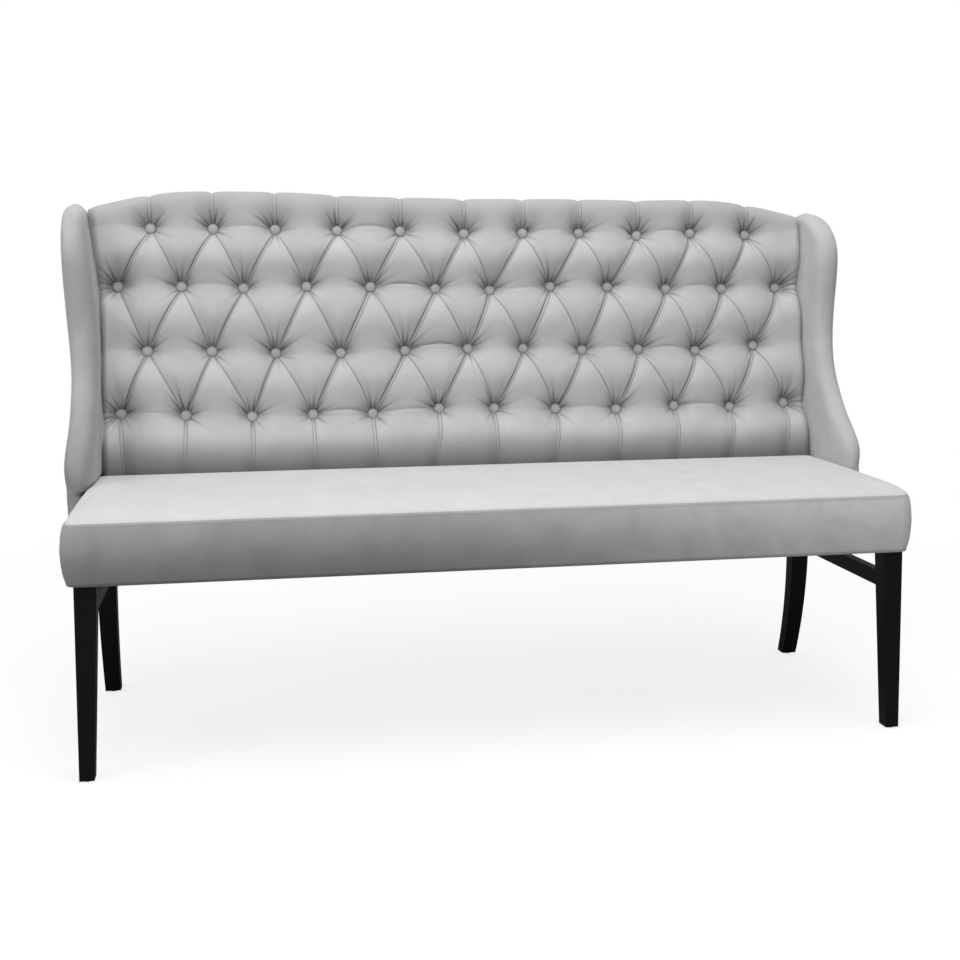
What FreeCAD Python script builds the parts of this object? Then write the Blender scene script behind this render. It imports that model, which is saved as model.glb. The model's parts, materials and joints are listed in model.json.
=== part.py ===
# A free-standing wing-back bench with a deep-buttoned back. Lengths are in millimetres, angles in degrees.
# The origin is on the floor under the middle of the bench. X runs to the right, -Y is the front, Z is up.
import FreeCAD, Part
import math
import os
import Sketcher

os.makedirs("parts", exist_ok=True)
doc = FreeCAD.newDocument("wing_back_bench")
sheet = doc.addObject("Spreadsheet::Sheet", "sizes")

# Driving sizes
SIZES = {
    # Seat box
    "seat_width": 1592,
    "overall_depth": 661,
    "underside_height": 366,
    "seam_height": 477,
    "seat_crown": 20,
    "side_bulge": 9,
    "front_bulge": 5,
    "corner_radius": 24,
    "cover_thickness": 1.5,
    "clearance": 0.3,
    "overrun": 20,
    # Seat frame
    "frame_side_inset": 7,
    "frame_front_inset": 5.5,
    "rail_rise": 2,
    "rail_height": 84,
    "rail_thickness": 25,
    "cross_rail_height": 60,
    "cross_rail_spacing": 530,
    "corner_block_depth": 42,
    "leg_bolt_length": 70,
    "dust_cover_edge": 4,
    "corner_block_height": 60,
    "dowel_radius": 4,
    "dowel_length": 50,
    "webbing_width": 60,
    "webbing_thickness": 2,
    "dust_cover_thickness": 1,
    # Legs, posts and stretchers
    "leg_top_width": 40,
    "leg_top_depth": 38,
    "leg_foot_width": 27,
    "leg_foot_depth": 29,
    "leg_splay": 8,
    "leg_head_ease": 12,
    "glide_radius": 9,
    "glide_height": 3,
    "post_proud": 12,
    "post_width": 40,
    "post_depth": 33,
    "post_foot_width": 33,
    "post_foot_depth": 30,
    "foot_from_back": 114.5,
    "bend_height": 430,
    "stretcher_height": 283,
    "stretcher_depth": 31,
    "stretcher_thickness": 18,
    "stretcher_inset": 12,
    # Back
    "rake_angle": 10.82,
    "row_four_height": 612,
    "gap_three_four": 134,
    "gap_two_three": 140,
    "gap_one_two": 124,
    "top_above_row_one": 78,
    "bottom_below_row_four": 156,
    "camel_drop": 42,
    "camel_flat_width": 1040,
    "edge_margin": 24.75,
    "back_overlap": 2,
    "back_lean": 22,
    "puff_height": 50,
    "dish_depth": 6,
    "pleat_rise": 26,
    "top_puff": 18,
    "top_roll": 14,
    "pleat_width": 5,
    "shut_valley_width": 8,
    "bottom_ease": 12,
    "edge_fall": 8,
    "padding_gap": 1,
    "panel_set_back": 18,
    "panel_thickness": 5,
    "back_rail_depth": 25,
    "back_rail_height": 62,
    "bottom_rail_lift": 10,
    "rail_below_top": 26,
    "rail_below_row_one": 30,
    "upright_width": 40,
    # Buttons and twines
    "button_radius": 12,
    "button_height": 8.5,
    "button_room": 1,
    "twine_radius": 1,
    "twine_hole_radius": 2,
    "knot_radius": 4,
    "knot_height": 3,
    # Wings
    "wing_thickness": 21,
    "wing_flare": 16,
    "wing_top_height": 1052,
    "wing_reach": 214,
    "wing_panel_thickness": 14,
    "wing_edge_padding": 16,
    "wing_rear_padding": 4,
    "wing_step": 1,
    "wing_top_round": 12,
    "wing_underside_rise": 4,
    "bolt_radius": 4,
    "bolt_head_radius": 6.5,
    "bolt_head_height": 5,
    "washer_radius": 10,
    "washer_thickness": 1.6,
    "tee_barrel_radius": 5.5,
    "tee_flange_radius": 9,
    "tee_flange_thickness": 1.5,
}

# Counts
BUTTON_COLUMNS = 23
STRAP_COUNT = 11

# Front edge of a wing: height above the seat as a share of the wing's height, and how far it
# stands in front of the buttons as a share of its reach at the seat
WING_FRONT_SHARES = (
    (0.06, 0.98), (0.12, 0.89), (0.17, 0.79), (0.22, 0.70), (0.28, 0.625), (0.35, 0.545),
    (0.42, 0.502), (0.50, 0.488), (0.57, 0.502), (0.64, 0.537), (0.71, 0.585), (0.77, 0.620),
    (0.82, 0.630), (0.87, 0.600), (0.915, 0.515),
)
WING_TOP_SHARES = ((0.95, 0.375), (0.978, 0.235), (1.0, 0.06))
# Seat outline from the bottom edge up to the seam: height share, bulge share
BAND_SHARES = ((0.0, -0.35), (0.17, 0.35), (0.36, 0.85), (0.56, 1.0), (0.80, 0.60), (1.0, 0.0))
# Seat crown above the seam: height share of the crown, inset as a share of the seat's depth
CROWN_SHARES = ((0.30, 0.018), (0.58, 0.045), (0.78, 0.085), (0.92, 0.14), (1.0, 0.21))
# Dowels of the seat rails, bolts and uprights: shares of the rail's height, the post or the columns
ACROSS_DOWEL_SHARES = (0.32, 0.78)
ALONG_DOWEL_SHARES = (0.15, 0.55)
LEG_BOLT_HEIGHT_SHARE = 0.435
WING_BOLT_SHARES = (0.25, 0.80)
LOW_BOLT_REACH_SHARE = 0.6
LOW_BOLT_HEIGHT_SHARE = 0.5
UPRIGHT_COLUMN_SHARE = 3.5
# Curved top of the back: the power of its fall, and where its rails have corners
CAMEL_POWER = 2.5
CAMEL_SHARES = (1.0, 0.78, 0.55, 0.30)
# Section of a covered button: rim height, width of its back, and its side's middle across and up
BUTTON_RIM_SHARE = 0.45
BUTTON_BACK_SHARE = 0.88
BUTTON_SIDE_SHARES = (0.985, 0.42)
# Seat crown: how much of its fall the sides, the rear and the corners' rounding take
SIDE_FALL_SHARE = 0.15
REAR_FALL_SHARE = 0.25
CORNER_FALL_SHARE = 0.6
# Between two button columns: where the padding's section is set, and how far round its ends are
PUFF_SHARES = (0.3, 0.7)
END_SHARE = 0.62
EDGE_SHARE = 0.5
# Top edge of the back: where its crest, its highest line and the middle of its rear roll lie
TOP_CREST_SHARE = 0.5
APEX_SHARE = 0.36
ROLL_SHARES = (0.72, 0.30)
# How far up the rear seat rail the outside cover's tail ends
TAIL_SHARE = 0.47
# Wings: reach at the underside, rounding of the roll, and lean of the board's top front corner
LOW_REACH_SHARE = 0.85
ROLL_SHARE = 0.47
TOP_SLOPE = 2.2


class Formula:
    """A size worked out from the sheet: its number, and the same sum in the sheet's names."""

    def __init__(self, number, text):
        self.number = float(number)
        self.text = text

    def __float__(self):
        return self.number

    def __neg__(self):
        return Formula(-self.number, "(-1 * " + self.text + ")")

    def __add__(self, other):
        return combined(self, "+", other, float(self) + float(other))

    def __radd__(self, other):
        return combined(other, "+", self, float(other) + float(self))

    def __sub__(self, other):
        return combined(self, "-", other, float(self) - float(other))

    def __rsub__(self, other):
        return combined(other, "-", self, float(other) - float(self))

    def __mul__(self, other):
        return combined(self, "*", other, float(self) * float(other))

    def __rmul__(self, other):
        return combined(other, "*", self, float(other) * float(self))

    def __truediv__(self, other):
        return combined(self, "/", other, float(self) / float(other))

    def __pow__(self, power):
        return combined(self, "^", power, float(self) ** power)


def text_of(term):
    return term.text if isinstance(term, Formula) else repr(float(term))


def combined(left, sign, right, number):
    return Formula(number, "(" + text_of(left) + " " + sign + " " + text_of(right) + ")")


for line, (alias, number) in enumerate(SIZES.items(), start=1):
    sheet.set("A" + str(line), alias)
    sheet.set("B" + str(line), str(number))
    sheet.setAlias("B" + str(line), alias)
doc.recompute()


def size(alias):
    """A cell of the sheet as a formula."""
    return Formula(sheet.get(alias), "sizes." + alias)


# Sizes that follow from the sheet
clearance = size("clearance")
overrun = size("overrun")
cover = size("cover_thickness")
rake = math.radians(float(size("rake_angle")))
rake_sin = Formula(math.sin(rake), "sin(sizes.rake_angle * 1 deg)")
rake_cos = Formula(math.cos(rake), "cos(sizes.rake_angle * 1 deg)")

half_seat = size("seat_width") / 2
half_depth = size("overall_depth") / 2
frame_half = half_seat - size("frame_side_inset")
frame_front = size("front_bulge") + size("frame_front_inset") - half_depth
rail_bottom = size("underside_height") + size("rail_rise")
rail_top = rail_bottom + size("rail_height")
webbing_top = rail_top + size("webbing_thickness")
seat_top = size("seam_height") + size("seat_crown")
leg_inner = frame_half - size("leg_top_width")
leg_rear = frame_front + size("leg_top_depth")
post_outer = half_seat + size("post_proud")
post_inner = post_outer - size("post_width")

row_three = size("gap_three_four")
row_two = row_three + size("gap_two_three")
row_one = row_two + size("gap_one_two")
back_top = row_one + size("top_above_row_one")
back_bottom = -size("bottom_below_row_four")
panel_front = size("panel_set_back")
panel_rear = panel_front + size("panel_thickness")
post_back = panel_rear + size("post_depth")
outside_front = post_back + clearance
back_rear = outside_front + cover
# The buttons lie in a raked plane that passes row four here
plane_y = half_depth - (back_top - size("top_roll")) * rake_sin - back_rear * rake_cos
plane_z = size("row_four_height")
back_end = post_inner + size("back_overlap")
column_step = (back_end - size("edge_margin")) / ((BUTTON_COLUMNS - 1) / 2)
wing_inner = post_outer + clearance
wing_outer = wing_inner + size("wing_thickness")


def raked(across, behind, along):
    """A point of the back: across, distance behind the buttons' plane, distance up the rake."""
    return (across, plane_y + along * rake_sin + behind * rake_cos,
            plane_z + along * rake_cos - behind * rake_sin)


def raked_y(behind, height):
    """Y of a raked plane that lies behind the buttons' plane, at a height."""
    return plane_y + behind / rake_cos + (height - plane_z) * rake_sin / rake_cos


def numbers(point):
    return FreeCAD.Vector(*(float(value) for value in point))


def bind(thing, path, formula):
    thing.setExpression(path, text_of(formula))


def place(thing, point, rotation=FreeCAD.Rotation()):
    """Puts a thing at a point whose three sizes stay tied to the sheet."""
    thing.Placement = FreeCAD.Placement(numbers(point), rotation)
    for axis, formula in zip("xyz", point):
        bind(thing, "Placement.Base." + axis, formula)


RAKED_TURN = FreeCAD.Rotation(FreeCAD.Vector(1, 0, 0), -math.degrees(rake))
ALONG_X = FreeCAD.Rotation(FreeCAD.Vector(0, 1, 0), 90)
ALONG_Y = FreeCAD.Rotation(FreeCAD.Vector(1, 0, 0), -90)
BEHIND = RAKED_TURN.multiply(ALONG_Y)


def block(name, low, high, rotation=FreeCAD.Rotation(), start=None):
    """A block between two corners; a raked one says where its low corner really lies."""
    thing = doc.addObject("Part::Box", name)
    for prop, near, far in zip(("Length", "Width", "Height"), low, high):
        bind(thing, prop, far - near)
    place(thing, start or low, rotation)
    return thing


def raked_block(name, low, high):
    return block(name, low, high, RAKED_TURN, raked(*low))


def rod(name, radius, length, start, rotation):
    """A round bar from a start point along a turned Z axis."""
    thing = doc.addObject("Part::Cylinder", name)
    bind(thing, "Radius", radius)
    bind(thing, "Height", length)
    place(thing, start, rotation)
    return thing


def placed(shape, spot):
    """A copy of a shape, set down at a placement."""
    copy = shape.copy()
    copy.Placement = spot
    return copy


def named(thing, label):
    thing.Label = label
    PARTS.append(thing)
    return thing


def group(label, things):
    """Separate solids of one kind under one name."""
    joined = doc.addObject("Part::Compound", label)
    joined.Links = things
    return named(joined, label)


def cut(label, base, tools):
    """A piece with other shapes taken out of it."""
    tool = tools[0]
    if len(tools) > 1:
        tool = doc.addObject("Part::MultiFuse", label + "_tools")
        tool.Shapes = tools
    piece = doc.addObject("Part::Cut", label)
    piece.Base = base
    piece.Tool = tool
    return piece


def made(label, shape):
    """A piece whose shape is worked out here."""
    thing = doc.addObject("Part::Feature", label)
    thing.Shape = shape
    thing.Placement = FreeCAD.Placement()
    return thing


PARTS = []
SIDES = (("left", -1), ("right", 1))


# Sketched pieces
def outline(body, role, name, corners, lift=None):
    """A closed sketch through corners (across, up); a corner with a radius and a point starts an arc."""
    sketch = body.newObject("Sketcher::SketchObject", name)
    plane = next(item for item in body.Origin.OriginFeatures if item.Role == role)
    sketch.AttachmentSupport = [(plane, "")]
    sketch.MapMode = "FlatFace"
    if lift is not None:
        bind(sketch, "AttachmentOffset.Base.z", lift)
    ends = []
    for index, corner in enumerate(corners):
        following = corners[(index + 1) % len(corners)]
        start = FreeCAD.Vector(float(corner[0]), float(corner[1]))
        end = FreeCAD.Vector(float(following[0]), float(following[1]))
        if len(corner) > 2:
            middle = FreeCAD.Vector(float(corner[3][0]), float(corner[3][1]))
            clockwise = (middle - start).cross(end - middle).z < 0
            arc = Part.Arc(end, middle, start) if clockwise else Part.Arc(start, middle, end)
            ends.append((sketch.addGeometry(arc), 2 if clockwise else 1, 1 if clockwise else 2))
        else:
            ends.append((sketch.addGeometry(Part.LineSegment(start, end)), 1, 2))
    for index, corner in enumerate(corners):
        edge, start, end = ends[index]
        before = ends[index - 1]
        sketch.addConstraint(Sketcher.Constraint("Coincident", before[0], before[2], edge, start))
        tie(sketch, "DistanceX", (edge, start), corner[0])
        tie(sketch, "DistanceY", (edge, start), corner[1])
        if len(corner) > 2:
            tie(sketch, "Radius", (edge,), corner[2])
    return sketch


def tie(sketch, kind, where, formula):
    """A dimension of a sketch that follows the sheet."""
    mark = sketch.addConstraint(Sketcher.Constraint(kind, *where, float(formula)))
    bind(sketch, "Constraints[" + str(mark) + "]", formula)


def new_body(name):
    return doc.addObject("PartDesign::Body", name)


def pad(body, sketch, length, both_ways=False):
    feature = body.newObject("PartDesign::Pad", sketch.Name + "_pad")
    feature.Profile = sketch
    bind(feature, "Length", length)
    if both_ways:
        feature.SideType = "Symmetric"
    sketch.Visibility = False
    return feature


# Legs
def front_leg(label, side):
    """A square leg, straight beside the rails and tapered below them, mostly on its inner side."""
    body = new_body(label + "_wood")
    foot_outer = frame_half + size("leg_splay")
    foot = outline(body, "XY_Plane", label + "_foot", rectangle(
        side, foot_outer - size("leg_foot_width"), foot_outer,
        frame_front, frame_front + size("leg_foot_depth")), size("glide_height"))
    shoulder = outline(body, "XY_Plane", label + "_shoulder", rectangle(
        side, leg_inner, frame_half, frame_front, leg_rear), size("underside_height"))
    taper = body.newObject("PartDesign::AdditiveLoft", label + "_taper")
    taper.Profile = foot
    taper.Sections = [shoulder]
    taper.Ruled = True
    doc.recompute()
    head = outline(body, "XY_Plane", label + "_head", eased(side, rectangle(
        side, leg_inner, frame_half, frame_front, leg_rear)), size("underside_height"))
    pad(body, head, rail_top - size("underside_height"))
    return body


def rectangle(side, near, far, front, rear):
    """Four corners that run the same way on both sides."""
    low, high = (near, far) if side > 0 else (-far, -near)
    return ((low, front), (high, front), (high, rear), (low, rear))


def eased(side, corners):
    """The same corners with the outer front one planed off, to clear the seat's rounded corner."""
    ease = size("leg_head_ease")
    (low, front), (high, _), *rear = corners
    if side > 0:
        return ((low, front), (high - ease, front), (high, front + ease), *rear)
    return ((low, front + ease), (low + ease, front), (high, front), *rear)


def rear_post(label, side):
    """A raked post that goes over into a sabre leg, sawn from one plank."""
    body = new_body(label + "_wood")
    top_front = raked(0, panel_rear, post_top)
    top_rear = raked(0, post_back, post_top)
    sketch = outline(body, "YZ_Plane", label + "_side", (
        (top_front[1], top_front[2]),
        (*bend_front, *on_sabre(front_arc, bend_front, foot_front)),
        (foot_front, size("glide_height")),
        (foot_rear, size("glide_height"), *on_sabre(rear_arc, bend_rear, foot_rear)),
        bend_rear,
        (top_rear[1], top_rear[2])), side * (post_inner + post_outer) / 2)
    pad(body, sketch, size("post_width"), both_ways=True)
    doc.recompute()
    inner_foot = post_outer - size("post_foot_width")
    taper = outline(body, "XZ_Plane", label + "_taper", (
        (side * (post_inner - overrun), size("glide_height") - overrun),
        (side * inner_foot, size("glide_height") - overrun),
        (side * inner_foot, size("glide_height")),
        (side * post_inner, size("stretcher_height")),
        (side * (post_inner - overrun), size("stretcher_height"))))
    pocket = body.newObject("PartDesign::Pocket", label + "_taper_cut")
    pocket.Profile = taper
    pocket.Type = "ThroughAll"
    pocket.SideType = "Symmetric"
    taper.Visibility = False
    return body


def sabre(bend_point, foot_y):
    """Radius and centre of the arc that leaves the rake at the bend and ends at the foot."""
    back = foot_y - bend_point[0]
    down = bend_point[1] - size("glide_height")
    radius = (back * back + down * down) / (2 * (rake_cos * back + rake_sin * down))
    return radius, bend_point[0] + radius * rake_cos, bend_point[1] - radius * rake_sin


def on_sabre(arc, bend_point, foot_y):
    """The arc's radius, and the point of it that lies halfway round."""
    radius, centre_y, centre_z = (float(value) for value in arc)
    away_y = (float(bend_point[0]) + float(foot_y)) / 2 - centre_y
    away_z = (float(bend_point[1]) + float(size("glide_height"))) / 2 - centre_z
    reach = radius / math.hypot(away_y, away_z)
    return arc[0], (centre_y + away_y * reach, centre_z + away_z * reach)


# Places that several pieces share
bend = size("bend_height")
foot_front = half_depth - size("foot_from_back")
foot_rear = foot_front + size("post_foot_depth")
bend_front = (raked_y(panel_rear, bend), bend)
bend_rear = (raked_y(post_back, bend), bend)
front_arc = sabre(bend_front, foot_front)
rear_arc = sabre(bend_rear, foot_rear)
post_top = back_top - size("camel_drop") - size("rail_below_top")
flat_half = size("camel_flat_width") / 2
side_rail_inner = frame_half - size("rail_thickness")
front_rail_rear = frame_front + size("rail_thickness")
rear_rail_front = raked_y(panel_rear, rail_top)
rear_rail_rear = rear_rail_front + size("rail_thickness")
stretcher_top = size("stretcher_height") + size("stretcher_depth")
stretcher_outer = frame_half - size("stretcher_inset") + size("stretcher_thickness") / 2
stretcher_inner = stretcher_outer - size("stretcher_thickness")
stretcher_rear = front_arc[1] - front_arc[0]
top_rail_low = row_one - size("rail_below_row_one")
bottom_rail_low = back_bottom + size("bottom_rail_lift")
bottom_rail_high = bottom_rail_low + size("back_rail_height")
back_rail_rear = panel_rear + size("back_rail_depth")
upright_middle = column_step * UPRIGHT_COLUMN_SHARE
dowel = size("dowel_radius")
dowel_half = size("dowel_length") / 2
hole = dowel + clearance / 2
bolt_hole = size("bolt_radius") + clearance / 2
block_near = side_rail_inner - leg_inner + leg_rear - front_rail_rear + clearance * 2


def leg_rear_at(height):
    """Y of a front leg's rear face on its taper."""
    share = (height - size("glide_height")) / (size("underside_height") - size("glide_height"))
    return frame_front + size("leg_foot_depth") + (size("leg_top_depth") - size("leg_foot_depth")) * share


def camel(across):
    """How far the top lies below its middle, at a distance from the middle past the flat stretch."""
    return size("camel_drop") * ((across - flat_half) / (wing_inner - flat_half)) ** CAMEL_POWER


def beside(side, low, high):
    """The two X values of a piece between two distances from the middle."""
    return (side * low, side * high) if side > 0 else (side * high, side * low)


def rail_height(share):
    return rail_bottom + size("rail_height") * share


# Dowels: where each one's middle lies, and which way it points
def frame_dowels(side):
    """Dowels of one side of the seat frame: (name, middle, direction)."""
    places = []
    for share in ACROSS_DOWEL_SHARES:
        height = rail_height(share)
        front_middle = (frame_front + front_rail_rear) / 2
        rear_middle = (rear_rail_front + rear_rail_rear) / 2
        places.append(("front_across", (side * leg_inner, front_middle, height), ALONG_X))
        places.append(("rear_across", (side * post_inner, rear_middle, height), ALONG_X))
    for share in ALONG_DOWEL_SHARES:
        height = rail_height(share)
        middle = side * (side_rail_inner + frame_half) / 2
        places.append(("front_along", (middle, leg_rear, height), ALONG_Y))
        places.append(("rear_along", (middle, raked_y(panel_rear, height), height), ALONG_Y))
    return places


def back_dowels(side):
    """Dowels of one side of the back frame, in the back's own plane."""
    behind = (panel_rear + back_rail_rear) / 2
    top_middle = (top_rail_low + post_top) / 2
    bottom_middle = (bottom_rail_low + bottom_rail_high) / 2
    return (
        ("top_across", raked(side * post_inner, behind, top_middle), ALONG_X),
        ("bottom_across", raked(side * post_inner, behind, bottom_middle), ALONG_X),
        ("upright_top", raked(side * upright_middle, behind, top_rail_low), RAKED_TURN),
        ("upright_bottom", raked(side * upright_middle, behind, bottom_rail_high), RAKED_TURN))


def stretcher_dowel_places(side):
    middle = side * (stretcher_inner + stretcher_outer) / 2
    height = (size("stretcher_height") + stretcher_top) / 2
    return (("stretcher_front", (middle, leg_rear_at(stretcher_top), height), ALONG_Y),
            ("stretcher_rear", (middle, stretcher_rear, height), ALONG_Y))


def centred_rod(name, radius, half_length, middle, rotation):
    """A round bar whose middle is given."""
    back_off = rotation.multVec(FreeCAD.Vector(0, 0, -1))
    start = tuple(value + half_length * share for value, share in zip(middle, back_off))
    return rod(name, radius, half_length * 2, start, rotation)


def dowels_of(label, places):
    return [centred_rod(label + "_" + str(count), dowel, dowel_half, middle, rotation)
            for count, (name, middle, rotation) in enumerate(places)]


def holes_of(label, places, *names):
    """Drilling tools for the dowels with these names."""
    return [centred_rod(label + "_hole_" + str(count), hole, dowel_half + clearance, middle, rotation)
            for count, (name, middle, rotation) in enumerate(places) if name in names]


# Bolts of the wings: (height on the post as a share of the way between its rails), and the low one
def wing_bolt_places(side):
    """Start of each wing bolt at the face that its washer lies on."""
    behind = (panel_rear + post_back) / 2
    span = top_rail_low - bottom_rail_high
    places = [("post", raked(side * post_inner, behind, bottom_rail_high + span * share))
              for share in WING_BOLT_SHARES]
    low_y = raked_y(-size("wing_reach") * LOW_BOLT_REACH_SHARE, rail_top)
    return places + [("rail", (side * side_rail_inner, low_y, rail_height(LOW_BOLT_HEIGHT_SHARE)))]


def bolt_holes(label, side, kind, radius, low, high):
    """Holes for one side's wing bolts, between two distances from the middle."""
    holes = []
    for count, (name, point) in enumerate(wing_bolt_places(side)):
        if name in kind:
            start = (beside(side, low, high)[0], point[1], point[2])
            holes.append(rod(label + "_bolt_hole_" + str(count), radius, high - low, start, ALONG_X))
    return holes


def leg_bolt_start(side):
    """Where a leg bolt leaves the corner block's inner face, on the corner's diagonal."""
    away = block_near + size("corner_block_depth")
    return (side * (side_rail_inner - away / 2), front_rail_rear + away / 2,
            rail_height(LEG_BOLT_HEIGHT_SHARE))


def diagonal(side):
    """Turns a bar's axis to point from the block's inner face into the front leg."""
    return FreeCAD.Rotation(FreeCAD.Vector(0, 0, 1), FreeCAD.Vector(side, -1, 0))


def leg_bolt_hole(label, side):
    return rod(label + "_leg_bolt_hole", bolt_hole, size("leg_bolt_length") + clearance, leg_bolt_start(side),
               diagonal(side))


def shifted(start, rotation, distance):
    """A point moved along a turned Z axis."""
    step = rotation.multVec(FreeCAD.Vector(0, 0, 1))
    return tuple(value + distance * share for value, share in zip(start, step))


def bolt_with_head(name, start, rotation, length):
    """A bolt that reaches a length past the face that its washer lies on."""
    seat = size("washer_thickness")
    shank = rod(name + "_shank", size("bolt_radius"), length + seat, shifted(start, rotation, -seat),
                rotation)
    head = rod(name + "_head", size("bolt_head_radius"), size("bolt_head_height"),
               shifted(start, rotation, -seat - size("bolt_head_height")), rotation)
    bolt = doc.addObject("Part::Fuse", name)
    bolt.Base = head
    bolt.Tool = shank
    return bolt


def washer(name, start, rotation):
    """A washer that lies behind the start point of its bolt."""
    disc = rod(name + "_disc", size("washer_radius"), size("washer_thickness"),
               shifted(start, rotation, -size("washer_thickness")), rotation)
    bore = rod(name + "_bore", bolt_hole, overrun * 2, shifted(start, rotation, -overrun), rotation)
    return cut(name, disc, [bore])


def prism(label, role, corners, length, lift=None, both_ways=False):
    body = new_body(label)
    pad(body, outline(body, role, label + "_outline", corners, lift), length, both_ways)
    return body


def mirrored_corners(half):
    """Corners of an outline that is alike on both sides, from its right half, bottom to top."""
    return tuple(half) + tuple((-1 * corner[0], corner[1]) for corner in reversed(half))


# Seat frame, legs and posts
leg_bolts = []
for side_name, side in SIDES:
    label = "front_leg_" + side_name
    places = frame_dowels(side) + list(stretcher_dowel_places(side))
    tools = holes_of(label, places, "front_across", "front_along", "stretcher_front")
    tools.append(leg_bolt_hole(label, side))
    named(cut(label, front_leg(label, side), tools), label)

    label = "rear_post_" + side_name
    places = places + list(back_dowels(side))
    tools = holes_of(label, places, "rear_across", "rear_along", "stretcher_rear", "top_across",
                     "bottom_across")
    tools += bolt_holes(label, side, ("post",), bolt_hole, post_inner - overrun, post_outer + overrun)
    named(cut(label, rear_post(label, side), tools), label)

    label = "side_stretcher_" + side_name
    low_end = (leg_rear_at(size("stretcher_height")), size("stretcher_height"))
    high_end = (leg_rear_at(stretcher_top), stretcher_top)
    blank = prism(label + "_blank", "YZ_Plane", (
        low_end, (stretcher_rear, size("stretcher_height")), (stretcher_rear, stretcher_top), high_end),
        size("stretcher_thickness"), side * (stretcher_inner + stretcher_outer) / 2, both_ways=True)
    named(cut(label, blank, holes_of(label, places, "stretcher_front", "stretcher_rear")), label)

    label = "seat_side_rail_" + side_name
    blank = prism(label + "_blank", "YZ_Plane", (
        (leg_rear, rail_bottom), (raked_y(panel_rear, rail_bottom), rail_bottom),
        (raked_y(panel_rear, rail_top), rail_top), (leg_rear, rail_top)),
        size("rail_thickness"), side * (side_rail_inner + frame_half) / 2, both_ways=True)
    tools = holes_of(label, places, "front_along", "rear_along")
    tools += bolt_holes(label, side, ("rail",), bolt_hole, side_rail_inner - overrun, frame_half + overrun)
    named(cut(label, blank, tools), label)

    leg_bolts.append(bolt_with_head("leg_bolt_" + side_name, leg_bolt_start(side), diagonal(side),
                                    size("leg_bolt_length")))
    leg_bolts.append(washer("leg_washer_" + side_name, leg_bolt_start(side), diagonal(side)))
group("leg_bolts", leg_bolts)

both_sides = frame_dowels(-1) + frame_dowels(1)
label = "seat_front_rail"
blank = block(label + "_blank", (-leg_inner, frame_front, rail_bottom),
              (leg_inner, front_rail_rear, rail_top))
named(cut(label, blank, holes_of(label, both_sides, "front_across")), label)
label = "seat_rear_rail"
blank = block(label + "_blank", (-post_inner, rear_rail_front, rail_bottom),
              (post_inner, rear_rail_rear, rail_top))
named(cut(label, blank, holes_of(label, both_sides, "rear_across")), label)

cross_half = size("rail_thickness") / 2
group("seat_cross_rails", [
    block("seat_cross_rail_" + side_name,
          (side * size("cross_rail_spacing") / 2 - cross_half, front_rail_rear, rail_bottom),
          (side * size("cross_rail_spacing") / 2 + cross_half, rear_rail_front,
           rail_bottom + size("cross_rail_height")))
    for side_name, side in SIDES])

corner_blocks = []
block_low = rail_height(LEG_BOLT_HEIGHT_SHARE) - size("corner_block_height") / 2
for side_name, side in SIDES:
    reach = block_near + size("corner_block_depth")
    label = "front_corner_block_" + side_name
    blank = prism(label, "XY_Plane", (
        (side * side_rail_inner, front_rail_rear + block_near),
        (side * (side_rail_inner - block_near), front_rail_rear),
        (side * (side_rail_inner - reach), front_rail_rear),
        (side * side_rail_inner, front_rail_rear + reach)), size("corner_block_height"), block_low)
    corner_blocks.append(cut(label + "_drilled", blank, [leg_bolt_hole(label, side)]))
    corner_blocks.append(prism("rear_corner_block_" + side_name, "XY_Plane", (
        (side * side_rail_inner, rear_rail_front),
        (side * (side_rail_inner - reach), rear_rail_front),
        (side * side_rail_inner, rear_rail_front - reach)), size("corner_block_height"), block_low))
group("seat_corner_blocks", corner_blocks)
group("seat_rail_dowels", dowels_of("seat_rail_dowel", both_sides))
stretcher_places = stretcher_dowel_places(-1) + stretcher_dowel_places(1)
group("stretcher_dowels", dowels_of("stretcher_dowel", stretcher_places))

glides = []
for side_name, side in SIDES:
    front_x = side * (frame_half + size("leg_splay") - size("leg_foot_width") / 2)
    rear_x = side * (post_outer - size("post_foot_width") / 2)
    glides.append(rod("front_glide_" + side_name, size("glide_radius"), size("glide_height"),
                      (front_x, frame_front + size("leg_foot_depth") / 2, 0), FreeCAD.Rotation()))
    glides.append(rod("rear_glide_" + side_name, size("glide_radius"), size("glide_height"),
                      (rear_x, (foot_front + foot_rear) / 2, 0), FreeCAD.Rotation()))
group("leg_glides", glides)

strap_step = leg_inner * 2 / STRAP_COUNT
strap_inset = size("webbing_thickness")
group("seat_webbing", [
    block("strap_" + str(count),
          (strap_step * (count - (STRAP_COUNT - 1) / 2) - size("webbing_width") / 2,
           frame_front + strap_inset, rail_top),
          (strap_step * (count - (STRAP_COUNT - 1) / 2) + size("webbing_width") / 2,
           rear_rail_rear - strap_inset, webbing_top))
    for count in range(STRAP_COUNT)])

dust_edge = size("dust_cover_edge")
dust_side = frame_half - dust_edge
named(prism("seat_dust_cover", "XY_Plane", mirrored_corners((
    (leg_inner - dust_edge, frame_front + dust_edge),
    (leg_inner - dust_edge, leg_rear + dust_edge),
    (dust_side, leg_rear + dust_edge),
    (dust_side, stretcher_rear - dust_edge),
    (post_inner - dust_edge, stretcher_rear - dust_edge),
    (post_inner - dust_edge, rear_rail_rear - dust_edge))),
    size("dust_cover_thickness"), rail_bottom - clearance - size("dust_cover_thickness")), "seat_dust_cover")


# Back frame and tufting board
def on_back(body, behind):
    """Lays a body that was drawn upright into the raked plane, with its rear face at a depth."""
    place(body, raked(0, behind, 0), RAKED_TURN)
    return body


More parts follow.
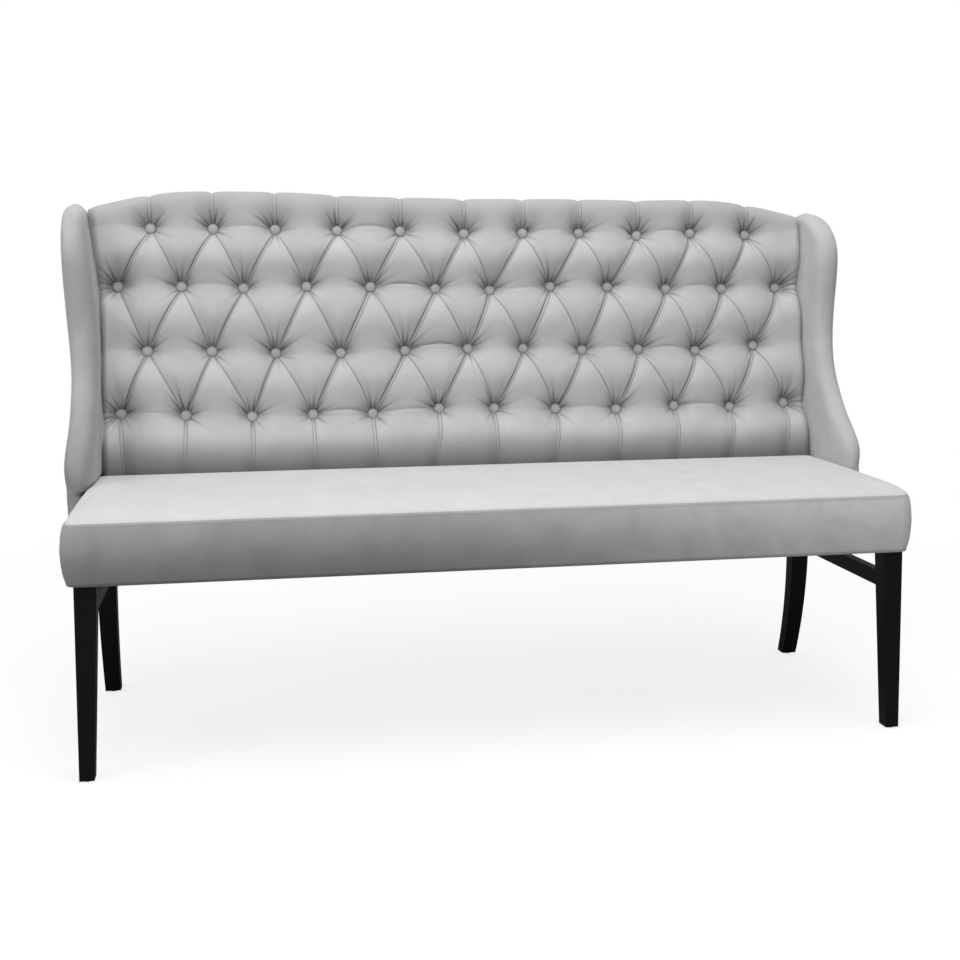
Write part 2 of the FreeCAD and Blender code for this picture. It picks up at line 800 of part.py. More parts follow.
def under_camel(end):
    """Corners along the curved top of a rail or board, from one end to the flat middle."""
    corners = []
    for share in CAMEL_SHARES:
        across = flat_half + (end - flat_half) * share
        corners.append((across, back_top - size("rail_below_top") - camel(across)))
    corners.append((flat_half, back_top - size("rail_below_top")))
    return corners


def places_of_buttons():
    """Every button: (column, row height up the rake, whether the top rail is behind it)."""
    half = (BUTTON_COLUMNS - 1) // 2
    for row, height in enumerate((row_one, row_two, row_three, 0)):
        for column in range(-half + 1 - row % 2, half + 1, 2):
            yield column, height, row == 0


label = "back_top_rail"
blank = prism(label + "_blank", "XZ_Plane", mirrored_corners(
    [(post_inner, top_rail_low)] + under_camel(post_inner)), size("back_rail_depth"))
back_places = back_dowels(-1) + back_dowels(1)
tools = holes_of(label, back_places, "top_across", "upright_top")
tools += [rod(label + "_twine_hole_" + str(column), size("twine_hole_radius"), back_rail_rear + overrun,
              raked(column_step * column, 0, height), BEHIND)
          for column, height, railed in places_of_buttons() if railed]
named(cut(label, on_back(blank, back_rail_rear), tools), label)

label = "back_bottom_rail"
blank = raked_block(label + "_blank", (-post_inner, panel_rear, bottom_rail_low),
                    (post_inner, back_rail_rear, bottom_rail_high))
named(cut(label, blank, holes_of(label, back_places, "bottom_across", "upright_bottom")), label)

uprights = []
upright_half = size("upright_width") / 2
for side_name, side in SIDES:
    label = "back_upright_" + side_name
    blank = raked_block(label, (side * upright_middle - upright_half, panel_rear, bottom_rail_high),
                        (side * upright_middle + upright_half, back_rail_rear, top_rail_low))
    uprights.append(cut(label + "_drilled", blank,
                        holes_of(label, back_dowels(side), "upright_top", "upright_bottom")))
group("back_uprights", uprights)
group("back_rail_dowels", dowels_of("back_rail_dowel", back_places))

label = "back_panel"
panel_edge = (post_inner + post_outer) / 2
body = new_body(label)
pad(body, outline(body, "XZ_Plane", label + "_outline", mirrored_corners(
    [(panel_edge, bottom_rail_low)] + under_camel(panel_edge))), size("panel_thickness"))
doc.recompute()
for row, height in enumerate((row_one, row_two, row_three, 0)):
    first = -((BUTTON_COLUMNS - 1) // 2 - 1 + row % 2)
    sketch = body.newObject("Sketcher::SketchObject", "button_hole_row_" + str(row))
    sketch.AttachmentSupport = [(next(item for item in body.Origin.OriginFeatures
                                      if item.Role == "XZ_Plane"), "")]
    sketch.MapMode = "FlatFace"
    centre = FreeCAD.Vector(float(column_step * first), float(height))
    sketch.addGeometry(Part.Circle(centre, FreeCAD.Vector(0, 0, 1), float(size("twine_hole_radius"))))
    tie(sketch, "DistanceX", (0, 3), column_step * first)
    tie(sketch, "DistanceY", (0, 3), height)
    tie(sketch, "Radius", (0,), size("twine_hole_radius"))
    sketch.Visibility = False
    pocket = body.newObject("PartDesign::Pocket", sketch.Name + "_cut")
    pocket.Profile = sketch
    pocket.Type = "ThroughAll"
    pocket.SideType = "Symmetric"
    doc.recompute()
    pattern = body.newObject("PartDesign::LinearPattern", sketch.Name + "_pattern")
    pattern.Originals = [pocket]
    pattern.Direction = (sketch, ["H_Axis"])
    bind(pattern, "Length", column_step * (-2 * first))
    pattern.Occurrences = 1 - first
    body.Tip = pattern
    doc.recompute()
named(on_back(body, panel_rear), label)

# Covered buttons and their twines
button_back = size("dish_depth") - clearance


def button_shape():
    """A flat-backed dome about the Z axis: its back at zero and its crown towards -Z."""
    radius = float(size("button_radius"))
    height = float(size("button_height"))
    rim = height * BUTTON_RIM_SHARE
    cap = height - rim
    sphere = (radius ** 2 + cap ** 2) / (cap * 2)
    half_angle = math.asin(radius / sphere) / 2
    edge = (radius, 0, -rim)
    dome_middle = (sphere * math.sin(half_angle), 0, sphere * (1 - math.cos(half_angle)) - height)
    crown = (0, 0, -height)
    corner = (radius * BUTTON_BACK_SHARE, 0, 0)
    side_middle = (radius * BUTTON_SIDE_SHARES[0], 0, -rim * BUTTON_SIDE_SHARES[1])
    edges = [Part.LineSegment(FreeCAD.Vector(0, 0, 0), FreeCAD.Vector(*corner)).toShape(),
             Part.Arc(FreeCAD.Vector(*corner), FreeCAD.Vector(*side_middle), FreeCAD.Vector(*edge)).toShape(),
             Part.Arc(FreeCAD.Vector(*edge), FreeCAD.Vector(*dome_middle), FreeCAD.Vector(*crown)).toShape(),
             Part.LineSegment(FreeCAD.Vector(*crown), FreeCAD.Vector(0, 0, 0)).toShape()]
    return Part.Face(Part.Wire(edges)).revolve(FreeCAD.Vector(0, 0, 0), FreeCAD.Vector(0, 0, 1), 360)


def twine_shape(length):
    """A twine along Z through the board behind its button, with its knot at the back."""
    strand = Part.makeCylinder(float(size("twine_radius")), float(length + size("knot_height")))
    knot = Part.makeCylinder(float(size("knot_radius")), float(size("knot_height")),
                             FreeCAD.Vector(0, 0, float(length)))
    return strand.fuse(knot).removeSplitter()


buttons = []
twines = []
twine_start = panel_front
for column, height, railed in places_of_buttons():
    spot = FreeCAD.Placement(numbers(raked(column_step * column, button_back, height)), BEHIND)
    buttons.append(placed(button_shape(), spot))
    knot_at = (back_rail_rear if railed else panel_rear) + clearance
    spot = FreeCAD.Placement(numbers(raked(column_step * column, twine_start, height)), BEHIND)
    twines.append(placed(twine_shape(knot_at - twine_start), spot))
named(made("back_buttons", Part.makeCompound(buttons)), "back_buttons")
named(made("button_twines", Part.makeCompound(twines)), "button_twines")


# Soft pieces are lofted through level or upright sections
def level_wire(corners, height):
    """A closed wire at one height through square corners (x, y, rounding)."""
    points = [FreeCAD.Vector(x, y, height) for x, y, rounding in corners]
    turns = []
    for index, (x, y, rounding) in enumerate(corners):
        point = points[index]
        before = (points[index - 1] - point).normalize()
        after = (points[(index + 1) % len(points)] - point).normalize()
        middle = point + (before + after) * (rounding * (1 - math.sqrt(0.5)))
        turns.append((point + before * rounding, middle, point + after * rounding))
    edges = []
    for index, (start, middle, end) in enumerate(turns):
        if corners[index][2]:
            edges.append(Part.Arc(start, middle, end).toShape())
        edges.append(Part.LineSegment(end, turns[(index + 1) % len(turns)][0]).toShape())
    return Part.Wire(edges)


def lofted(wires):
    return Part.makeLoft(wires, True, True)


def slab(low, high):
    """A box between two corners, as a shape."""
    low = numbers(low)
    return Part.makeBox(*(numbers(high) - low), low)


def drills(holes):
    doc.recompute()
    return [thing.Shape for thing in holes]


# Seat padding and covers
seat_rear = raked_y(-size("puff_height"), seat_top) - size("padding_gap")


def seat_corners(bulge, fall, inset, rear):
    """Corners of the seat in plan: how far it bulges, and how far the crown has come in."""
    half = float(half_seat + size("side_bulge") * bulge - fall * SIDE_FALL_SHARE) - inset
    front = float(-half_depth + size("front_bulge") * (1 - bulge) + fall) + inset
    rounding = float(size("corner_radius")) - inset + fall * CORNER_FALL_SHARE
    return ((half, rear, 0), (half, front, rounding), (-half, front, rounding), (-half, rear, 0))


def seat_ring(height, bulge, fall, inset, rear):
    return level_wire(seat_corners(bulge, fall, inset, rear), height)


def strip_ring(height, bulge):
    """A level section of the band: round the front and sides, and back along its inner face."""
    rear = float(seat_rear)
    inner_corners = tuple(reversed(seat_corners(bulge, 0, float(cover), rear)))
    return level_wire(seat_corners(bulge, 0, 0, rear) + inner_corners, height)


def band_levels():
    """Heights and bulges of the seat's rings from its underside up to the seam."""
    base = float(size("underside_height"))
    return [(base + (float(size("seam_height")) - base) * share, bulge) for share, bulge in BAND_SHARES]


def crown_rings(inset, rear):
    """The seat's rings above the seam, each one further in."""
    depth = float(seat_rear + half_depth)
    return [seat_ring(float(size("seam_height") + size("seat_crown") * share) - inset, 0, depth * fall,
                      inset, rear - depth * fall * REAR_FALL_SHARE) for share, fall in CROWN_SHARES]


soft_inset = float(cover + clearance)
wing_inset = float(cover + clearance * 2)
frame_pocket = slab((-frame_half - clearance, frame_front - clearance, -overrun),
                    (frame_half + clearance, seat_rear + overrun, webbing_top + clearance))
skirt_holes = drills([thing for side_name, side in SIDES
                      for thing in bolt_holes("seat_skirt_" + side_name, side, ("rail",), bolt_hole,
                                              side_rail_inner, wing_inner)])
seam = float(size("seam_height"))
foam = lofted([seat_ring(min(height, seam - soft_inset), bulge, 0, soft_inset, float(seat_rear))
               for height, bulge in band_levels()] + crown_rings(soft_inset, float(seat_rear)))
named(made("seat_foam", foam.cut([frame_pocket] + skirt_holes)), "seat_foam")
inner = float(cover)
past_rear = float(seat_rear + overrun)
crown = lofted([seat_ring(seam, 0, 0, 0, float(seat_rear))] + crown_rings(0, float(seat_rear)))
hollow = lofted([seat_ring(seam - float(overrun), 0, 0, inner, past_rear),
                 seat_ring(seam - inner, 0, 0, inner, past_rear)] + crown_rings(inner, past_rear))
named(made("seat_top_cover", crown.cut(hollow)), "seat_top_cover")
band = lofted([strip_ring(height, bulge) for height, bulge in band_levels()])
named(made("seat_band_cover", band.cut(skirt_holes)), "seat_band_cover")


# Back padding and covers
button_seat = size("button_radius") + size("button_room")


def back_end_at(height):
    """Where the back's leaning end lies at a height."""
    rise = float(size("wing_top_height") - size("seam_height"))
    return float(back_end) + float(size("back_lean")) * (height - float(size("seam_height"))) / rise


def top_at(across):
    past = max(abs(across) - float(flat_half), 0)
    return float(back_top) - float(size("camel_drop")) * (past / float(wing_inner - flat_half)) ** CAMEL_POWER


def valleys(share):
    """Heights of the three valleys between two columns, from rows one and three to rows two and four."""
    one, two, three = float(row_one), float(row_two), float(row_three)
    return one + (two - one) * share, three + (two - three) * share, three - three * share


def crest_between(behind, low, high, shut):
    """The middle of a puff's arc, or nothing where two valleys meet in one flat seat."""
    return () if shut else ((behind, (low + high) / 2, "via"),)


def front_chain(share, across, fall, inset):
    """Points of the buttoned front from its bottom edge to the rear of its top, as (behind, along)."""
    dish = float(size("dish_depth"))
    puff = float(size("puff_height")) - fall
    low, summit = float(back_bottom), top_at(across) - inset
    depth = dish - float(size("pleat_rise")) * math.sin(math.pi * share)
    upper, middle, lower = valleys(share)
    # A valley is as flat as a button's seat on its column, and two that meet there share that seat
    shut = float(size("shut_valley_width")) / 2
    open_half = float(button_seat) if share in (0, 1) else float(size("pleat_width")) / 2
    middle_low, lower_high = (shut, shut) if share == 0 else (open_half, open_half)
    middle_high, upper_low = (shut, shut) if share == 1 else (open_half, open_half)
    rise_upper = math.sqrt(1 - share ** 2)
    rise_lower = math.sqrt(1 - (1 - share) ** 2)
    crest_upper = dish - (dish + puff) * rise_upper
    crest_lower = dish - (dish + puff) * rise_lower
    crest_top = -float(size("top_puff")) - (puff - float(size("top_puff"))) * rise_lower
    pairs = [
        (dish - puff, low),
        (float(size("bottom_ease")) * share - puff, (low + lower - open_half) / 2, "via"),
        (depth, lower - open_half), (depth, lower + lower_high),
        *crest_between(crest_lower, lower + lower_high, middle - middle_low, share == 0),
        (depth, middle - middle_low), (depth, middle + middle_high),
        *crest_between(crest_upper, middle + middle_high, upper - upper_low, share == 1),
        (depth, upper - upper_low), (depth, upper + open_half),
        (crest_top, upper + open_half + (summit - upper - open_half) * TOP_CREST_SHARE, "via")]
    points = [(behind + inset + fall * EDGE_SHARE, *rest) for behind, *rest in pairs]
    rear = float(post_back) - inset
    apex = rear * APEX_SHARE
    drop = float(size("top_roll"))
    middle_of_roll = (apex + (rear - apex) * ROLL_SHARES[0], summit - drop * ROLL_SHARES[1], "via")
    return points + [(apex, summit), middle_of_roll, (rear, summit - drop)]


def on_section(point, across, leaning):
    """A point of the back's section in space; an end section leans with the wing."""
    height = float(plane_z) + point[1] * float(rake_cos) - point[0] * float(rake_sin)
    x = math.copysign(back_end_at(height), across) if leaning else across
    return FreeCAD.Vector(x, float(plane_y) + point[1] * float(rake_sin) + point[0] * float(rake_cos), height)


def chain_edges(points, across, leaning):
    """Lines and arcs through a chain whose arcs' middles are marked."""
    spots = [on_section(point, across, leaning) for point in points]
    edges = []
    start = 0
    while start < len(points) - 1:
        if len(points[start + 1]) > 2:
            edges.append(Part.Arc(spots[start], spots[start + 1], spots[start + 2]).toShape())
            start += 2
        else:
            edges.append(Part.LineSegment(spots[start], spots[start + 1]).toShape())
            start += 1
    return edges


def cover_section(share, across, fall, leaning):
    outer = front_chain(share, across, fall, 0)
    inner = front_chain(share, across, fall, float(cover))
    loop = outer + list(reversed(inner)) + [outer[0]]
    return Part.Wire(chain_edges(loop, across, leaning))


def foam_section(share, across, fall, leaning):
    """Closed over the top rail and in front of the tufting board."""
    outer = front_chain(share, across, fall, soft_inset + float(size("padding_gap")))
    over_rail = top_at(across) - float(size("rail_below_top") - clearance)
    front = float(panel_front - clearance)
    loop = outer + [(outer[-1][0], over_rail), (front, over_rail), (front, float(back_bottom)), outer[0]]
    return Part.Wire(chain_edges(loop, across, leaning))


def back_stations():
    """Every section of the back: (share of the way from an even to an odd column, X, fall, leaning)."""
    half = (BUTTON_COLUMNS - 1) // 2
    step = float(column_step)
    flat = float(button_seat)
    fall = float(size("edge_fall"))
    stations = [(END_SHARE, -1, fall, True)]
    for column in range(-half, half + 1):
        odd = column % 2
        stations.append((odd, column * step - flat, 0, False))
        stations.append((odd, column * step + flat, 0, False))
        if column < half:
            for share in PUFF_SHARES:
                across = column * step + flat + (step - flat * 2) * share
                stations.append(((1 - share if odd else share), across, 0, False))
    stations.append((END_SHARE, 1, fall, True))
    return stations


def back_loft(section):
    wires = []
    for share, across, fall, leaning in back_stations():
        spot = math.copysign(float(back_end), across) if leaning else across
        wires.append(section(share, spot, fall, leaning))
    return lofted(wires)


named(made("back_front_cover", back_loft(cover_section)), "back_front_cover")
named(made("back_foam", back_loft(foam_section)), "back_foam")

# The plain cover at the back, with a tail between the posts down to the rear seat rail
straight_low = (bend - plane_z + post_back * rake_sin) / rake_cos
tail_height = rail_bottom + size("rail_height") * TAIL_SHARE
tail_low = (tail_height - plane_z + post_back * rake_sin) / rake_cos
cover_top = [(corner[0], corner[1] + size("rail_below_top") - size("top_roll"))
             for corner in under_camel(post_outer)]
body = prism("back_outside_cover_flat", "XZ_Plane", mirrored_corners(
    [(post_inner - clearance, tail_low), (post_inner - clearance, straight_low), (post_outer, straight_low)]
    + cover_top), cover)
named(on_back(body, back_rear), "back_outside_cover")


# Wings
def wing_stations():
    """A wing's level sections: (height, share of reach, above the seat or not, above the post or not,
    way that an inset moves it: up over an underside, down below a top)."""
    low = float(size("underside_height") + size("wing_underside_rise"))
    top = float(size("wing_top_height"))
    seat = float(seat_top)
    post = float(raked(0, panel_rear, post_top)[2] + clearance * 2)
    step = float(size("wing_step"))
    stations = [(low, LOW_REACH_SHARE, False, False, 1), (seat + step / 2, 1.0, False, False, 1),
                (seat + step * 2, 1.0, True, False, 1)]
    for way, shares in ((0, WING_FRONT_SHARES), (-1, WING_TOP_SHARES)):
        for share, reach in shares:
            height = seat + (top - seat) * share
            stations.append((height, reach, True, height > post, way))
    before = max(index for index, station in enumerate(stations) if not station[3])
    lower, upper = stations[before], stations[before + 1]
    for height, over in ((post, False), (post + step, True)):
        part = (height - lower[0]) / (upper[0] - lower[0])
        reach = lower[1] + (upper[1] - lower[1]) * part
        stations.insert(before + 1 + over, (height, reach, True, over, 1))
    return stations


def wing_section(side, station, inset, last):
    """A level section: the roll in front, the inner face over the back's end, and the step round the post."""
    height, reach, over_seat, over_post, way = station
    rounding = float(size("wing_top_round")) if last else 0
    height = height + inset * way
    top = float(size("wing_top_height"))
    lean = min(max((height - float(seat_top)) / (top - float(seat_top)), 0), 1)
    step_x = float(wing_inner) + inset
    outer = float(wing_outer) + float(size("wing_flare")) * lean - inset - rounding
    inner = back_end_at(height) + float(size("padding_gap")) + inset + rounding
    if not over_seat:
        inner = float(wing_inner) - float(clearance) + inset
    if over_post:
        step_x = inner + float(clearance)
    front = float(raked_y(-size("wing_reach") * reach, height)) + inset + rounding
    face = float(raked_y(panel_front - clearance, height)) - inset
    rear = float(raked_y(outside_front - clearance, height)) - inset - rounding
    roll = (outer - inner) * ROLL_SHARE
    corners = [(outer, rear, 0), (outer, front, roll), (inner, front, roll), (inner, face, 0),
               (step_x, face, 0), (step_x, rear, 0)]
    return level_wire([(side * x, y, r) for x, y, r in corners], height)


def wing_loft(side, inset):
    stations = wing_stations()
    return lofted([wing_section(side, station, inset, index == len(stations) - 1)
                   for index, station in enumerate(stations)])


def wing_board(side, margin, near, far):
    """The plywood's outline between two distances from the middle, grown by a margin."""
    edge = float(size("wing_edge_padding")) - margin
    rear_edge = float(size("wing_rear_padding")) - margin
    top = float(size("wing_top_height")) - edge
    stations = [station for station in wing_stations() if station[0] < top]
    low = stations[0][0] + edge
    x = side * near
    spots = [FreeCAD.Vector(x, float(raked_y(-size("wing_reach") * reach, height)) + edge, height)
             for height, reach, over_seat, over_post, way in stations if over_seat]
    curve = Part.BSplineCurve()
    curve.interpolate(spots)
    foot = FreeCAD.Vector(x, float(raked_y(-size("wing_reach") * LOW_REACH_SHARE, low)) + edge, low)
    rear_low = FreeCAD.Vector(x, float(raked_y(outside_front, low)) - rear_edge, low)
    rear_top = FreeCAD.Vector(x, float(raked_y(outside_front, top)) - rear_edge, top)
    front_top = FreeCAD.Vector(x, spots[-1].y + (top - spots[-1].z) * TOP_SLOPE, top)
    edges = [Part.LineSegment(foot, spots[0]).toShape(), curve.toShape(),
             Part.LineSegment(spots[-1], front_top).toShape(),
             Part.LineSegment(front_top, rear_top).toShape(),
             Part.LineSegment(rear_top, rear_low).toShape(), Part.LineSegment(rear_low, foot).toShape()]
    return Part.Face(Part.Wire(edges)).extrude(FreeCAD.Vector(side * (far - near), 0, 0))


wing_bolts = []
tee_nuts = []
tee_hole = size("tee_barrel_radius") + clearance / 2
panel_inner = wing_inner + wing_inset
panel_outer = panel_inner + size("wing_panel_thickness")
past_panel = panel_outer + overrun
flange_low = panel_outer - size("tee_flange_thickness")
flange_hole = size("tee_flange_radius") + clearance
for side_name, side in SIDES:
    label = "wing_cover_" + side_name
    tools = drills(bolt_holes(label, side, ("post", "rail"), bolt_hole, post_outer - overrun,
                              wing_inner + clearance + cover))
    named(made(label, wing_loft(side, 0).cut([wing_loft(side, float(cover))] + tools)), label)

    label = "wing_padding_" + side_name
    pocket = wing_board(side, float(clearance), float(wing_inner), float(panel_outer + clearance))
    named(made(label, wing_loft(side, wing_inset).cut(pocket)), label)

    label = "wing_panel_" + side_name
    tools = drills(bolt_holes(label + "_barrel", side, ("post", "rail"), tee_hole, wing_inner, past_panel)
                   + bolt_holes(label + "_flange", side, ("post", "rail"), flange_hole,
                                flange_low - clearance, past_panel))
    named(made(label, wing_board(side, 0, float(panel_inner), float(panel_outer)).cut(tools)), label)

    for count, (kind, point) in enumerate(wing_bolt_places(side)):
        outward = FreeCAD.Rotation(FreeCAD.Vector(0, 0, 1), FreeCAD.Vector(side, 0, 0))
        length = panel_outer - clearance - (post_inner if kind == "post" else side_rail_inner)
        name = "wing_bolt_" + side_name + "_" + str(count)
        wing_bolts.append(bolt_with_head(name, point, outward, length))
        wing_bolts.append(washer(name + "_washer", point, outward))
        name = "wing_tee_nut_" + side_name + "_" + str(count)
        barrel = rod(name + "_barrel", size("tee_barrel_radius"), panel_outer - panel_inner - clearance,
                     (side * (panel_inner + clearance), point[1], point[2]), outward)
        flange = rod(name + "_flange", size("tee_flange_radius"), size("tee_flange_thickness"),
                     (side * flange_low, point[1], point[2]), outward)
        joined = doc.addObject("Part::Fuse", name)
        joined.Base = barrel
        joined.Tool = flange
        bore = rod(name + "_bore", bolt_hole, overrun * 2,
                   (side * (panel_inner - overrun / 2), point[1], point[2]), outward)
        tee_nuts.append(cut(name + "_bored", joined, [bore]))
group("wing_bolts", wing_bolts)
group("wing_tee_nuts", tee_nuts)


# Every piece must be whole before it is written
doc.recompute()
for thing in doc.Objects:
    if "Invalid" in thing.State or "Error" in thing.State:
        raise RuntimeError(thing.Label + " failed: " + str(thing.State))
for thing in PARTS:
    if thing.Shape.isNull() or not thing.Shape.isValid():
        raise RuntimeError(thing.Label + " has no valid shape")
    thing.Shape.exportStep("parts/" + thing.Label + ".step")
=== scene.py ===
# A free-standing wing-back bench: light grey velvet over foam, a deep-buttoned back, black lacquered legs.
import bmesh
import bpy
import json
import math
import numpy as np
from mathutils import Matrix, Vector


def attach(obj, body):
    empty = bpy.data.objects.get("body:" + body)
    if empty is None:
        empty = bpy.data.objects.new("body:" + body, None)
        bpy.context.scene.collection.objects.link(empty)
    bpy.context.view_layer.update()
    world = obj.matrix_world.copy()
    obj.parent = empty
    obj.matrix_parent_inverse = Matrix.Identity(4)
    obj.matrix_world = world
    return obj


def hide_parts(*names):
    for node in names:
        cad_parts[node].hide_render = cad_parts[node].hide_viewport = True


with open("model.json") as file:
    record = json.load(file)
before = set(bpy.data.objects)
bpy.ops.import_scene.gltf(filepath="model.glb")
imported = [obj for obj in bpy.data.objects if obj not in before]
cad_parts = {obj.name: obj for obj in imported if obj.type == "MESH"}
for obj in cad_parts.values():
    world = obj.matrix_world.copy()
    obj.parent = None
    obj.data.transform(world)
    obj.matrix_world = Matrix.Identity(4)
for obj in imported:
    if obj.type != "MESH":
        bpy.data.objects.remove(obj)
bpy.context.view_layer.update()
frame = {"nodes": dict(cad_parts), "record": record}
MM = 0.001

# Sizes of the bench in millimetres, as the frame has them. Heights up the back start at the lowest row of
# buttons and follow its rake, and depths behind it start at the buttons' raked plane
RAKE = math.radians(10.82)
BUTTON_PLANE_Y = 187.0
ROW_FOUR_Z = 612.0
ROWS = (398.0, 274.0, 134.0, 0.0)
COLUMN_STEP = 67.75
ROW_STEP = 133.0
LAST_COLUMN = 11
BACK_TOP = 476.0
BACK_FOOT = -150.0
BACK_REAR = 56.0
BACK_INSIDE = 18.0
POST_OUTER = 808.0
DISH = 6.0
# The back's top line: half width of its level part, its fall at the ends, and how much higher the left half is
LEVEL_HALF = 520.0
TOP_FALL = 46.0
TOP_LIFT = 9.0
SEAM_Z = 477.0
SEAT_FOOT_Z = 364.0
SEAT_CROWN = 20.0
SEAT_HALF = 803.0
SEAT_FRONT = -325.5
SEAT_REAR = 113.0
CORNER_RADIUS = 24.0
# Distances from the front and the sides over which the seat's crown rises to 63 per cent of its height
FRONT_EASE = 30.0
SIDE_EASE = 4.5
# Share of the band's depth below the seam, and share of its full bulge there
BAND_BULGE = ((0, 0.04, 0.2, 0.44, 0.64, 0.83, 1.0), (-0.1, 0.25, 0.70, 1.0, 0.92, 0.62, 0.0))
BEAD_BULGE = 7.0
WING_FOOT_Z = 370.0
WING_TOP_Z = 1052.0
WING_SEAT_Z = 497.0
WING_REACH = 214.0
WING_STEP_X = 808.3
WING_STEP_BEHIND = 16.0
WING_REAR = 55.0
WING_OUTER_X = 829.3
WING_CAP = 28.0
# How far the left and the right wing's tops were upholstered above or below the even height
WING_LIFT = (12, -3)
# Front edge of a wing: height above the seat as a share of its whole height, and share of its full reach there
WING_FRONT = (
    (0.0, 1.0), (0.06, 0.98), (0.12, 0.89), (0.17, 0.79), (0.22, 0.70), (0.28, 0.625), (0.35, 0.545),
    (0.42, 0.502), (0.50, 0.488), (0.57, 0.502), (0.64, 0.537), (0.71, 0.585), (0.77, 0.620),
    (0.82, 0.630), (0.87, 0.600), (0.915, 0.515), (0.95, 0.375), (0.978, 0.235), (1.0, 0.06))
# Joint of the back with the left and the right wing: heights and half widths. The padding leans in halfway up
WING_JOINT = (
    ((494, 580, 680, 780, 840, 900, 973, 1012, 1046), (783.5, 780, 778.5, 777, 777, 781.5, 789, 794.5, 802.5)),
    ((492, 540, 597, 683, 754, 830, 896, 960, 1043), (796, 791.5, 788, 785.5, 786, 785, 785, 790, 796)))

# How far each button was set from the regular grid by hand, in mm across and up, row by row from the left
HAND_SET = (
    ((5.5, 8.5), (2.0, 7.0), (-0.5, 5.5), (-1.5, 3.0), (2.5, 2.5), (9.0, -3.5), (7.5, -2.0), (2.5, -2.0),
     (3.0, -7.0), (-5.5, -2.5), (-8.0, -6.0)),
    ((2.5, 6.5), (-0.5, 6.0), (-4.5, 2.0), (-4.5, 4.5), (0.0, 3.0), (9.0, -2.5), (-5.0, -6.5), (-1.5, 1.0),
     (-3.5, -0.5), (-1.0, -6.5), (-2.5, -6.5), (-7.5, -5.5)),
    ((-8.0, 7.5), (-8.0, 5.0), (-7.5, -1.0), (-2.5, -2.0), (4.5, 0.5), (9.5, 3.5), (-0.5, 1.5), (-0.5, -4.0),
     (-4.5, -3.5), (-4.5, -9.0), (-0.5, 1.5)),
    ((2.0, 8.0), (1.0, 2.0), (6.0, -3.5), (0.5, -1.5), (-4.5, -3.0), (7.5, 5.5), (-4.5, 3.5), (0.5, -1.0),
     (5.5, -5.0), (7.0, 0.0), (5.0, -6.0), (0.0, 2.0)))
# Creases pulled between neighbours of one row: row, number of the left button, depth and arch in mm
LEVEL_CREASES = (
    (0, 1, 1.0, 3), (0, 3, 1.6, 7), (0, 6, 0.8, 4), (0, 8, 1.2, 5), (1, 1, 0.8, 4), (1, 4, 2.4, 6),
    (1, 6, 1.2, -2), (1, 9, 1.4, 5), (2, 4, 2.8, 12), (2, 7, 1.0, 5), (2, 8, 1.6, 6), (3, 0, 0.8, 3),
    (3, 3, 2.4, 9), (3, 4, 1.6, 4), (3, 7, 1.4, 5), (3, 9, 1.8, 6))


# Colours
def linear(hex_colour):
    """An sRGB hex colour as linear red, green, blue and a full alpha."""
    parts = [int(hex_colour[i:i + 2], 16) / 255 for i in (1, 3, 5)]
    return [c / 12.92 if c <= 0.04045 else ((c + 0.055) / 1.055) ** 2.4 for c in parts] + [1.0]


def new_material(name):
    """An empty node material, its tree, and the object's own coordinates as the place on it."""
    material = bpy.data.materials.new(name)
    material.use_nodes = True
    tree = material.node_tree
    tree.nodes.clear()
    return material, tree, add(tree, "ShaderNodeTexCoord").outputs["Object"]


def add(tree, kind, links=(), **settings):
    """Adds one node: settings are its properties or its inputs' values, links are (input, output socket)."""
    node = tree.nodes.new(kind)
    for key, value in settings.items():
        name = key.replace("_", " ")
        if hasattr(node, key):
            setattr(node, key, value)
        else:
            node.inputs[name if name in node.inputs else name.title()].default_value = value
    for target, source in links:
        tree.links.new(node.inputs[target], source)
    return node


def two_tones(tree, grain, dark, light, low=0.0, high=1.0):
    """A colour that goes from dark to light as the grain's value goes from low to high."""
    ramp = add(tree, "ShaderNodeValToRGB", [("Fac", grain.outputs["Fac"])])
    for element, position, colour in zip(ramp.color_ramp.elements, (low, high), (dark, light)):
        element.position = position
        element.color = linear(colour)
    return ramp


